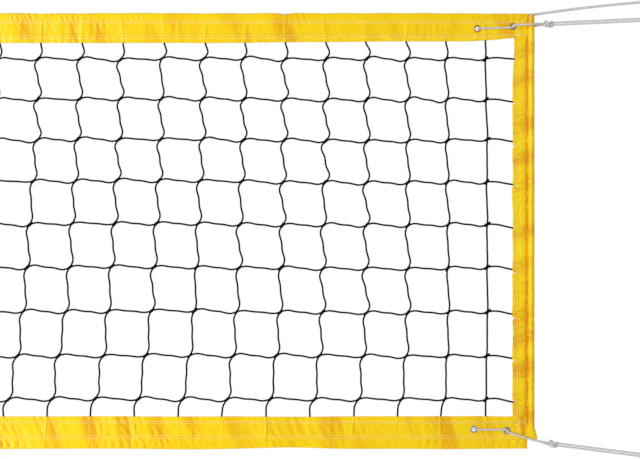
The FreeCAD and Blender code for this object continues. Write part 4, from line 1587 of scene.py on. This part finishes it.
    def ring(
        self,
        angle: np.ndarray,
        centre: float,
        wide: float | np.ndarray,
        deep: float | np.ndarray,
        z: float,
    ) -> np.ndarray:
        """One oval ring of points round the sleeve.

        Args:
            angle: The points' bearings.
            centre: X of its middle.
            wide: Its half width, as one number or one for each point.
            deep: Its half depth, the same way.
            z: Its height.

        Returns:
            The points.
        """
        x = centre + wide * np.cos(angle)
        y = deep * np.sin(angle)
        return np.stack([x, y, np.full(len(angle), z)], -1)

    def web(self) -> tuple[np.ndarray, list]:
        """The closed skin of the cloth that joins the flap and the two bands to the sleeve."""
        heights = np.linspace(-0.008, -0.995, 120)[:, None]
        section = np.array([[4.2285, -0.6], [4.2370, -0.6], [4.2370, 0.6], [4.2285, 0.6]])
        x = np.broadcast_to(section[None, :, 0], (120, 4))
        y = section[None, :, 1] * MM + 0.25 * MM * ripples(heights, x, self.seed + 4, (0.03, 0.1))
        ring = np.stack([x, y, np.broadcast_to(heights, x.shape)], -1)
        return ring.reshape(-1, 3), ring_faces(120, 4)

    def skin(self) -> bpy.types.Object:
        """The side band's cloth: flap, sleeve and the web between them as one piece."""
        shells = []
        for made, skin in (self.flap(), self.sleeve(), self.web()):
            placed = made * np.array([self.side.value, 1, 1])
            shells.append((placed, outward(placed, skin)))
        every, faces = gather(shells)
        name = f"side_band_{self.side.word}_cloth"
        cloth = new_piece(name, every, faces, self.finishes.cloth, 60)
        across = self.side.value * every[:, 0]
        # Painted shade: the groove beside the sleeve is noted as a deep fold, so the cloth is
        # painted orange along it, as are the hollows of the flap's wrinkles.
        groove_shade = -1.9 * MM * np.exp(-(((across - self.groove_shade) / 0.0026) ** 2))
        on_sleeve = np.abs(every[:, 1]) > 3.5 * MM
        paint_fold_shade(cloth, self.wrinkle(across, every[:, 2]) + np.where(on_sleeve, 0.0, groove_shade))
        return cloth

    def stitching(self) -> bpy.types.Object:
        """Two rows of stitches down both faces, and a bar tack at each level cord's end."""
        bar = Seam(length=3.4 * MM, width=0.9 * MM, thick=0.45 * MM)
        places: list[tuple[float, float, float]] = []
        for seam in self.seams:
            for z in np.arange(self.flap_top - 0.022, self.flap_foot + 0.008, -bar.pitch):
                places.append((seam, float(z), 90.0))
        for end in self.cord_ends():
            for step in range(5):
                places.append((4.2040 + 1.3 * MM * step, float(end), 68.0 if step % 2 else 112.0))
        across, z, turn = np.array(places).T
        stitches = []
        for front in (True, False):
            out = self.front(across, z + (0.0 if front else self.back_shift))
            centre = np.stack([self.side.value * across, -out if front else out, z], -1)
            stitches.append(bar.placed(centre, np.radians(turn)))
        points = np.concatenate(stitches)
        name = f"side_band_{self.side.word}_stitches"
        return new_piece(name, points, bar.faces(len(points)), self.finishes.thread, 80)

    def build(self) -> None:
        cloth = settle(self.skin(), NET_BODY, Slot.CLOTH, f"side_band_{self.side.word}")
        stitches = settle(self.stitching(), NET_BODY, Slot.CLOTH)


@dataclass
class Route:
    """The control points of a rope's line at the net's right-hand end, in millimetres."""

    points: tuple[tuple[float, float, float], ...]

    def line(self, side: Side, closeness: int = 14) -> np.ndarray:
        """Reads the smooth line of the route.

        Args:
            side: The end of the net that the rope is at.
            closeness: Points read for each control point.

        Returns:
            Points of the line, in metres.
        """
        curve = bpy.data.curves.new("route", "CURVE")
        curve.dimensions = "3D"
        spline = curve.splines.new("NURBS")
        spline.points.add(len(self.points) - 1)
        for point, (x, y, z) in zip(spline.points, self.points):
            point.co = (side.value * x * MM, y * MM, z * MM, 1.0)
        spline.order_u = 3
        spline.use_endpoint_u = True
        spline.resolution_u = closeness
        holder = bpy.data.objects.new("route", curve)
        bpy.context.scene.collection.objects.link(holder)
        bpy.context.view_layer.update()
        mesh = bpy.data.meshes.new_from_object(holder)
        line = np.array([vertex.co for vertex in mesh.vertices])
        bpy.data.objects.remove(holder)
        bpy.data.curves.remove(curve)
        bpy.data.meshes.remove(mesh)
        return line


def even(line: np.ndarray, step: float) -> np.ndarray:
    """Reads a line at even steps.

    Args:
        line: Points of the line.
        step: Distance between the new points, in metres.

    Returns:
        The new points, with the same ends.
    """
    steps = np.linalg.norm(np.diff(line, axis=0), axis=1)
    line = line[np.concatenate([[True], steps > 1e-9])]
    length = np.concatenate([[0.0], np.cumsum(np.linalg.norm(np.diff(line, axis=0), axis=1))])
    places = np.linspace(0, length[-1], max(4, round(length[-1] / step)))
    return np.stack([np.interp(places, length, line[:, i]) for i in range(3)], -1)


TOP_LACING = Route(
    (
        (4267.0, -1.6, -24.8), (4261.0, -1.8, -25.0), (4242.2, -13.0, -27.8),
        (4207.9, -6.1, -29.2), (4199.0, -4.3, -29.6), (4199.0, 4.8, -29.6),
        (4189.9, 4.8, -30.4), (4125.1, 4.8, -36.2), (4116.0, 4.8, -37.0),
        (4116.0, -4.3, -37.0), (4125.1, -4.3, -36.7), (4189.9, -4.3, -34.7),
        (4199.0, -4.3, -34.4), (4199.0, 4.8, -34.4), (4207.8, 6.4, -33.5),
        (4242.2, 13.0, -30.2), (4261.0, 1.8, -28.8), (4267.0, 1.6, -28.4),
    )
)
BOTTOM_LACING = Route(
    (
        (4278.1, -1.6, -1007.2), (4272.2, -1.8, -1006.5), (4242.2, -5.9, -1001.2),
        (4194.1, -4.6, -985.3), (4185.5, -4.3, -982.4), (4185.5, 4.8, -982.4),
        (4176.4, 4.8, -981.8), (4117.1, 4.8, -977.6), (4108.0, 4.8, -977.0),
        (4108.0, -4.3, -977.0), (4117.1, -4.3, -977.1), (4176.4, -4.3, -977.5),
        (4185.5, -4.3, -977.6), (4185.5, 4.8, -977.6), (4193.7, 4.9, -980.7),
        (4242.2, 5.9, -998.8), (4272.2, 1.8, -1010.5), (4278.1, 1.6, -1011.2),
    )
)
CABLE_TAIL = Route(
    (
        (4180.0, 0.0, -4.3), (4194.0, 0.0, -4.3), (4236.2, 12.9, -4.3),
        (4310.0, 12.9, 6.7), (4385.0, 12.9, 15.9), (4455.3, 12.9, 23.1),
        (4512.1, 12.9, 27.8),
    )
)


def loop_route(
    centre: tuple[float, float, float], angle: float, reach: float, straight: bool
) -> Route:
    """Route of a doubled rope from a knot out to its end loop and back.

    Args:
        centre: The knot's centre, in millimetres.
        angle: How far the rope rises outward, in degrees.
        reach: Distance from the knot's centre to where the loop turns back.
        straight: Whether the long run gets a point near the loop's neck.

    Returns:
        The route.
    """
    neck = reach - 36
    there = [(14, 2.8), (neck - 14, 2.8), (neck, 2.8), (neck + 12, 10), (reach, 10)]
    if not straight:
        there.pop(1)
    flat = there + [(out, -up) for out, up in reversed(there)]
    cosine, sine = math.cos(math.radians(angle)), math.sin(math.radians(angle))
    x, y, z = centre
    return Route(tuple((x + a * cosine - b * sine, y, z + a * sine + b * cosine) for a, b in flat))


@dataclass
class RopeKnot:
    """A knot drawn tight: a doubled strand wound round the rope, and one laid across it."""

    centre: tuple[float, float, float]
    angle: float
    rope: float
    spread: tuple[float, float] = (2.0, 2.8)
    turns: float = 1.35
    half_length: float = 14 * MM
    girth: float = 9.4 * MM
    slant: float = 0.62

    def core(self) -> list[np.ndarray]:
        """The two strands inside the knot, which join the ropes on its two sides."""
        lines = []
        for sign in (1, -1):
            share = np.linspace(0, 1, 24)
            along = (self.half_length + 1.5 * MM) * (2 * share - 1)
            across = sign * MM * (self.spread[0] + (self.spread[1] - self.spread[0]) * share)
            depth = -sign * 1.6 * MM * (1 - smooth_step(share * 1.3))
            lines.append(np.stack([along, across, depth], -1))
        return lines

    def strands(self) -> list[np.ndarray]:
        """Lines of the knot's strands about the knot's own axis, as along, across and depth."""
        radius = self.girth - self.rope / 2
        share = np.linspace(0, 1, 80)
        lines = self.core()
        for shift in (-0.5, 0.5):
            turn = 2.4 + 2 * math.pi * self.turns * share
            ease = smooth_step(share / 0.16) * smooth_step((1 - share) / 0.16)
            out = self.rope * 0.5 + (radius * 0.94 - self.rope * 0.5) * ease
            along = 5.2 * MM * (2 * share - 1) + shift * self.rope * 1.04
            across = out * np.cos(turn)
            lines.append(np.stack([along - self.slant * across, across, out * np.sin(turn)], -1))
        sweep = np.linspace(-0.5 * math.pi, 0.5 * math.pi, 34)
        along = (self.half_length - 4.5 * MM) * np.sin(sweep)
        depth = -(self.rope * 0.5 + (radius - self.rope * 0.4) * np.cos(sweep) ** 0.8)
        lines.append(np.stack([along, 0.42 * along + 0.6 * MM, depth], -1))
        return lines

    def placed(self, side: Side) -> list[np.ndarray]:
        """Puts the strands' lines in the net's frame.

        Args:
            side: The end of the net.

        Returns:
            The lines.
        """
        cosine, sine = math.cos(math.radians(self.angle)), math.sin(math.radians(self.angle))
        centre = np.array(self.centre) * MM
        lines = []
        for line in self.strands():
            x = centre[0] + line[:, 0] * cosine - line[:, 1] * sine
            z = centre[2] + line[:, 0] * sine + line[:, 1] * cosine
            lines.append(np.stack([side.value * x, centre[1] + line[:, 2], z], -1))
        return lines


@dataclass
class Rope:
    """Makes braided rope along lines, with its plaits raised on its skin."""

    finishes: Finishes
    sides: int = 24
    plaits: int = 6
    relief: float = 0.05
    step: float = 1.3 * MM

    def skin(self, lines: list[np.ndarray], diameter: float, name: str) -> bpy.types.Object:
        """One piece from one or more lines.

        Args:
            lines: The rope's lines, at even steps.
            diameter: Its diameter, in metres.
            name: The piece's name.

        Returns:
            The piece.
        """
        shells = []
        for line in lines:
            made, skin, _ = tube(line, self.radii(line, diameter), self.sides)
            shells.append((made, outward(made, skin)))
        points, faces = gather(shells)
        return new_piece(name, points, faces, self.finishes.rope, 80)

    def radii(self, line: np.ndarray, diameter: float) -> np.ndarray:
        """Raises the plaits that lie on top.

        Args:
            line: The rope's line.
            diameter: Its diameter, in metres.

        Returns:
            The rope's radius at each point and side.
        """
        steps = np.linalg.norm(np.diff(line, axis=0), axis=1)
        length = np.concatenate([[0.0], np.cumsum(steps)])[:, None]
        around = 2 * math.pi * np.arange(self.sides)[None, :] / self.sides
        twist = 2 * math.pi * length / (diameter * 3.6)
        plait = np.cos(self.plaits * around / 2 + twist) * np.cos(self.plaits * around / 2 - twist)
        return diameter / 2 * (1 - self.relief + 2 * self.relief * np.abs(plait))

    def cord(
        self,
        name: str,
        route: Route,
        side: Side,
        diameter: float,
        length: float,
        far_end: str,
        with_pieces: tuple[bpy.types.Object, ...] = (),
    ) -> bpy.types.Object:
        """A rope along a route.

        Args:
            name: The piece's name.
            route: Its route.
            side: The end of the net that it is at.
            diameter: Its diameter, in metres.
            length: Not used.
            far_end: Not used.
            with_pieces: Not used.

        Returns:
            The piece.
        """
        line = even(route.line(side), self.step)
        piece = self.skin([line], diameter, name)
        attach(piece, NET_BODY)
        return piece


@dataclass
class CornerRopes:
    """The ropes at one corner: the lacing through the eyelets, its knot, and its doubled tether."""

    place: str
    side: Side
    rope: Rope
    lacing: Route
    lacing_length: float
    tether_length: float
    knot: RopeKnot
    reach: float
    diameter: float = 4.4 * MM

    def build(self) -> None:
        """Makes the corner's three pieces."""
        name = f"{self.place}_{{}}_{self.side.word}"
        wound = self.rope.skin(
            [even(line, self.rope.step) for line in self.knot.placed(self.side)],
            self.diameter,
            name.format("knot") + "_wound",
        )
        settle(wound, NET_BODY, Slot.ROPE, name.format("knot"))
        laced = self.rope.cord(
            name.format("lacing"),
            self.lacing,
            self.side,
            self.diameter,
            self.lacing_length,
            "object",
            (wound,),
        )
        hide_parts(name.format("rope"))
        route = loop_route(self.knot.centre, self.knot.angle, self.reach, True)
        tether = self.rope.cord(
            name.format("tether"), route, self.side, self.diameter, self.tether_length, "object"
        )
        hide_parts(name.format("rope"))
        log.info("%s and %s made", laced.name, tether.name)


@dataclass
class TopCable:
    """The cable in the top band's tunnel, with a tail, a knot and a loop at each end."""

    rope: Rope
    knot: RopeKnot
    diameter: float = 6 * MM
    height: float = -4.3 * MM
    half_length: float = 4.18
    tail_length: float = 0.3355
    loop_length: float = 0.0994
    loop_reach: float = 56.0
    stations: int = 400

    def build(self) -> None:
        """Makes the cable's pieces at both ends."""
        along = np.linspace(-self.half_length, self.half_length, self.stations)
        line = np.stack([along, 0 * along, 0 * along + self.height], -1)
        points, faces, _ = tube(line, np.array(self.diameter / 2), 16)
        skin = outward(points, faces)
        cable = new_piece("tunnel_cable", points, skin, self.rope.finishes.rope, 80)
        settle(cable, NET_BODY, Slot.ROPE, "top_cable")
        for side in Side:
            wound = self.rope.skin(
                [even(strand, self.rope.step) for strand in self.knot.placed(side)],
                self.diameter,
                f"cable_knot_{side.word}_wound",
            )
            settle(wound, NET_BODY, Slot.ROPE, f"cable_knot_{side.word}")
            tail = self.rope.cord(
                f"cable_tail_{side.word}_rope",
                CABLE_TAIL,
                side,
                self.diameter,
                self.tail_length,
                "knot",
                (wound,),
            )
            loop = self.rope.cord(
                f"cable_loop_{side.word}",
                loop_route(self.knot.centre, self.knot.angle, self.loop_reach, False),
                side,
                self.diameter,
                self.loop_length,
                "object",
            )
            for piece in (tail, loop):
                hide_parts(f"cable_tail_{side.word}")


@dataclass
class EyeletSet:
    """The eyelets of one band, each turned from a ring, and the washers behind them."""

    place: str
    eyelets: tuple[Eyelet, ...]
    slot: Slot
    material: bpy.types.Material
    around: int = 40
    shell: tuple[tuple[float, float], ...] = (
        (4.75, -1.00), (4.90, -1.60), (5.50, -1.90), (6.80, -1.97), (8.10, -1.85), (8.85, -1.50),
        (9.00, -1.05), (8.70, -0.85), (6.20, -0.85), (5.70, -0.60), (5.70, 1.85), (6.15, 1.82),
        (6.60, 1.95), (6.55, 2.25), (6.00, 2.42), (5.35, 2.25), (4.75, 1.75),
    )
    washer: tuple[tuple[float, float], ...] = (
        (5.90, 0.85), (8.80, 0.85), (9.00, 1.10), (8.85, 1.55), (8.10, 1.80), (6.60, 1.82),
        (5.90, 1.60),
    )

    def turned(self, name: str, section: tuple[tuple[float, float], ...]) -> bpy.types.Object:
        """Draws a ring out along a closed section, ring by ring, and closes it.

        Args:
            name: The piece's name.
            section: Radius and depth of each ring, in millimetres.

        Returns:
            The turned piece, centred on the origin.
        """
        pick_none()
        radius, depth = section[0]
        bpy.ops.mesh.primitive_circle_add(
            vertices=self.around,
            radius=radius * MM,
            location=(0, depth * MM, 0),
            rotation=(math.pi / 2, 0, 0),
        )
        piece = bpy.context.object
        piece.name = name
        bpy.ops.object.transform_apply(location=True, rotation=True, scale=True)
        bpy.ops.object.mode_set(mode="EDIT")
        bpy.ops.mesh.select_all(action="SELECT")
        for before, after in zip(section, section[1:] + section[:1]):
            move = (0, (after[1] - before[1]) * MM, 0)
            bpy.ops.mesh.extrude_edges_move(TRANSFORM_OT_translate={"value": move})
            scale = after[0] / before[0]
            bpy.ops.transform.resize(value=(scale, 1, scale), center_override=(0, after[1] * MM, 0))
        bpy.ops.mesh.select_all(action="SELECT")
        bpy.ops.mesh.remove_doubles(threshold=0.00001)
        bpy.ops.mesh.normals_make_consistent(inside=False)
        bpy.ops.object.mode_set(mode="OBJECT")
        return piece

    def spread(self, name: str, section: tuple[tuple[float, float], ...], node: str) -> None:
        """Copies the turned ring to each eyelet's place and joins the copies.

        Args:
            name: The joined piece's name.
            section: The ring's section.
            node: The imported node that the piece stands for.
        """
        first = self.turned(name, section)
        copies = []
        for eyelet in self.eyelets:
            for side in Side:
                copy = first.copy()
                copy.data = first.data.copy()
                bpy.context.scene.collection.objects.link(copy)
                for vertex in copy.data.vertices:
                    vertex.co += Vector((side.value * eyelet.x, 0, eyelet.z))
                copies.append(copy)
        bpy.data.objects.remove(first)
        pick(*copies)
        bpy.ops.object.join()
        piece = bpy.context.object
        piece.name = name
        piece.data.materials.clear()
        piece.data.materials.append(self.material)
        smooth(piece, 40)
        settle(piece, NET_BODY, self.slot, node)

    def build(self) -> None:
        """Makes the eyelets and the washers."""
        self.spread(f"{self.place}_eyelet_rings", self.shell, f"{self.place}_eyelets")
        self.spread(f"{self.place}_washer_rings", self.washer, f"{self.place}_eyelet_washers")


@dataclass
class Poles:
    """The side poles and their caps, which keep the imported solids' shapes."""

    finishes: Finishes

    def build(self) -> None:
        """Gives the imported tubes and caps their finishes."""
        dress = (("side_pole", self.finishes.pole), ("pole_caps", self.finishes.cap))
        for side in Side:
            for node, material in dress:
                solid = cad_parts[f"{node}_{side.word}"]
                solid.data.materials.clear()
                solid.data.materials.append(material)
                log.info("%s dressed", solid.name)


@dataclass
class Studio:
    """Plain white surroundings, soft lamps and the photograph's camera."""

    target: tuple[float, float, float] = (3.7466, 0.0, -0.5081)
    view_width: float = 1.5021
    lens: float = 85.0
    sensor: float = 36.0
    floor_height: float = -2.43
    floor_size: tuple[float, float, float] = (15.0, 10.0, 1.0)
    # Strength of the surroundings as light, a little over a third of what the eye sees.
    soft: float = 0.36
    # Each lamp's name, place, aim, width and height, and power in watts.
    lamps: tuple[tuple[str, tuple, tuple, tuple, float], ...] = (
        ("key", (1.05, -3.4, -0.35), (3.5, 0, -0.45), (0.75, 2.6), 108),
        ("fill", (6.8, -3.2, 1.4), (3.8, 0, -0.5), (2.4, 2.4), 34),
        ("rear", (3.0, 4.5, 2.0), (3.0, 0, -0.5), (4.0, 2.5), 90),
        ("far_end", (-4.5, -4.0, 1.5), (-3.0, 0, -0.5), (4.0, 2.5), 120),
    )

    def camera(self) -> None:
        """Puts the camera square on to the net, as the photograph was taken."""
        data = bpy.data.cameras.new("camera")
        data.lens = self.lens
        data.sensor_width = self.sensor
        distance = self.view_width * self.lens / self.sensor
        camera = bpy.data.objects.new("camera", data)
        camera.location = (self.target[0], -distance, self.target[2])
        camera.rotation_euler = (math.pi / 2, 0, 0)
        bpy.context.scene.collection.objects.link(camera)
        bpy.context.scene.camera = camera

    def lamp(self, name: str, place: tuple, aim: tuple, size: tuple, power: float) -> None:
        """Adds a soft rectangular lamp.

        Args:
            name: The lamp's name.
            place: Where it is.
            aim: The point that it faces.
            size: Its width and height, in metres.
            power: Its power, in watts.
        """
        data = bpy.data.lights.new(name, "AREA")
        data.shape = "RECTANGLE"
        data.size, data.size_y = size
        data.energy = power
        lamp = bpy.data.objects.new(name, data)
        lamp.location = place
        lamp.rotation_euler = (Vector(aim) - Vector(place)).to_track_quat("-Z", "Y").to_euler()
        bpy.context.scene.collection.objects.link(lamp)

    def world(self) -> None:
        """Makes the surroundings white to the eye and softly bright on the object."""
        world = bpy.data.worlds.new("studio")
        bpy.context.scene.world = world
        graph = Graph(world)
        soft = graph.add("Background", {"Color": linear("#F4F6FA"), "Strength": self.soft})
        white = graph.add("Background", {"Color": (1, 1, 1, 1)})
        mixed = {"Fac": seen_directly(graph), 1: soft["Background"], 2: white["Background"]}
        graph.add("OutputWorld", {"Surface": graph.add("MixShader", mixed)["Shader"]})

    def floor(self) -> None:
        """Lays a plain pale floor, as far under the net as a court is."""
        pick_none()
        bpy.ops.mesh.primitive_plane_add(size=1.0, location=(0, 0, self.floor_height))
        floor = bpy.context.object
        floor.name = "floor"
        floor.scale = self.floor_size
        bpy.ops.object.transform_apply(location=True, rotation=True, scale=True)
        floor.data.materials.append(WhitePlaster().build())

    def build(self) -> None:
        """Sets up the camera, the lamps, the surroundings and the floor."""
        bpy.context.scene.view_settings.view_transform = "Standard"
        self.camera()
        for lamp in self.lamps:
            self.lamp(*lamp)
        self.world()
        self.floor()


def build_ropes(finishes: Finishes) -> None:
    """Makes every rope of the net."""
    rope = Rope(finishes)
    top = RopeKnot((4281.0, 0.0, -26.0), 2.6, 4.4 * MM)
    bottom = RopeKnot((4292.0, 0.0, -1011.0), -7.3, 4.4 * MM)
    for side in Side:
        CornerRopes("top", side, rope, TOP_LACING, 0.3249, 0.5250, top, 269.0).build()
        CornerRopes("bottom", side, rope, BOTTOM_LACING, 0.3669, 0.5030, bottom, 258.0).build()
    TopCable(rope, RopeKnot((4526.0, 12.9, 29.0), 4.8, 6 * MM, (0.0, 2.8), 1.2)).build()


def build_bands(finishes: Finishes, layout: MeshLayout) -> None:
    """Makes the four bands of cloth."""
    TopBand(
        "top_band_cloth",
        "top_band",
        layout,
        finishes,
        seed=100,
        rows=TOP_ROWS,
        crease_at=-0.055,
        eyelets=TOP_EYELETS,
        seams=(-0.0195, -0.0237, -0.0530, -0.0603),
        end_seam=(-0.0275, -0.0660),
        lean=(-0.2, 0.4),
        flat_width=0.087,
    ).build()
    BottomBand(
        "bottom_band_cloth",
        "bottom_band",
        layout,
        finishes,
        seed=200,
        rows=BOTTOM_ROWS,
        crease_at=-0.955,
        eyelets=BOTTOM_EYELETS,
        seams=(-0.9587, -0.9634, -0.9921, -0.9979),
        end_seam=(-0.9505, -0.9900),
        lean=(0.1, 0.8),
        flat_width=0.090,
    ).build()
    for side in Side:
        SideBand(side, finishes, seed=300 if side is Side.RIGHT else 400).build()


def main() -> None:
    """Builds the studio, then the net from its ropes to its cloth."""
    logging.basicConfig(level=logging.INFO, format="%(message)s")
    Studio().build()
    finishes = Finishes()
    layout = MeshLayout()
    build_ropes(finishes)
    Mesh(layout, finishes).build()
    build_bands(finishes, layout)
    EyeletSet("top", TOP_EYELETS, Slot.BRASS, finishes.brass).build()
    EyeletSet("bottom", BOTTOM_EYELETS, Slot.NICKEL, finishes.nickel).build()
    Poles(finishes).build()


if __name__ == "__main__":
    main()
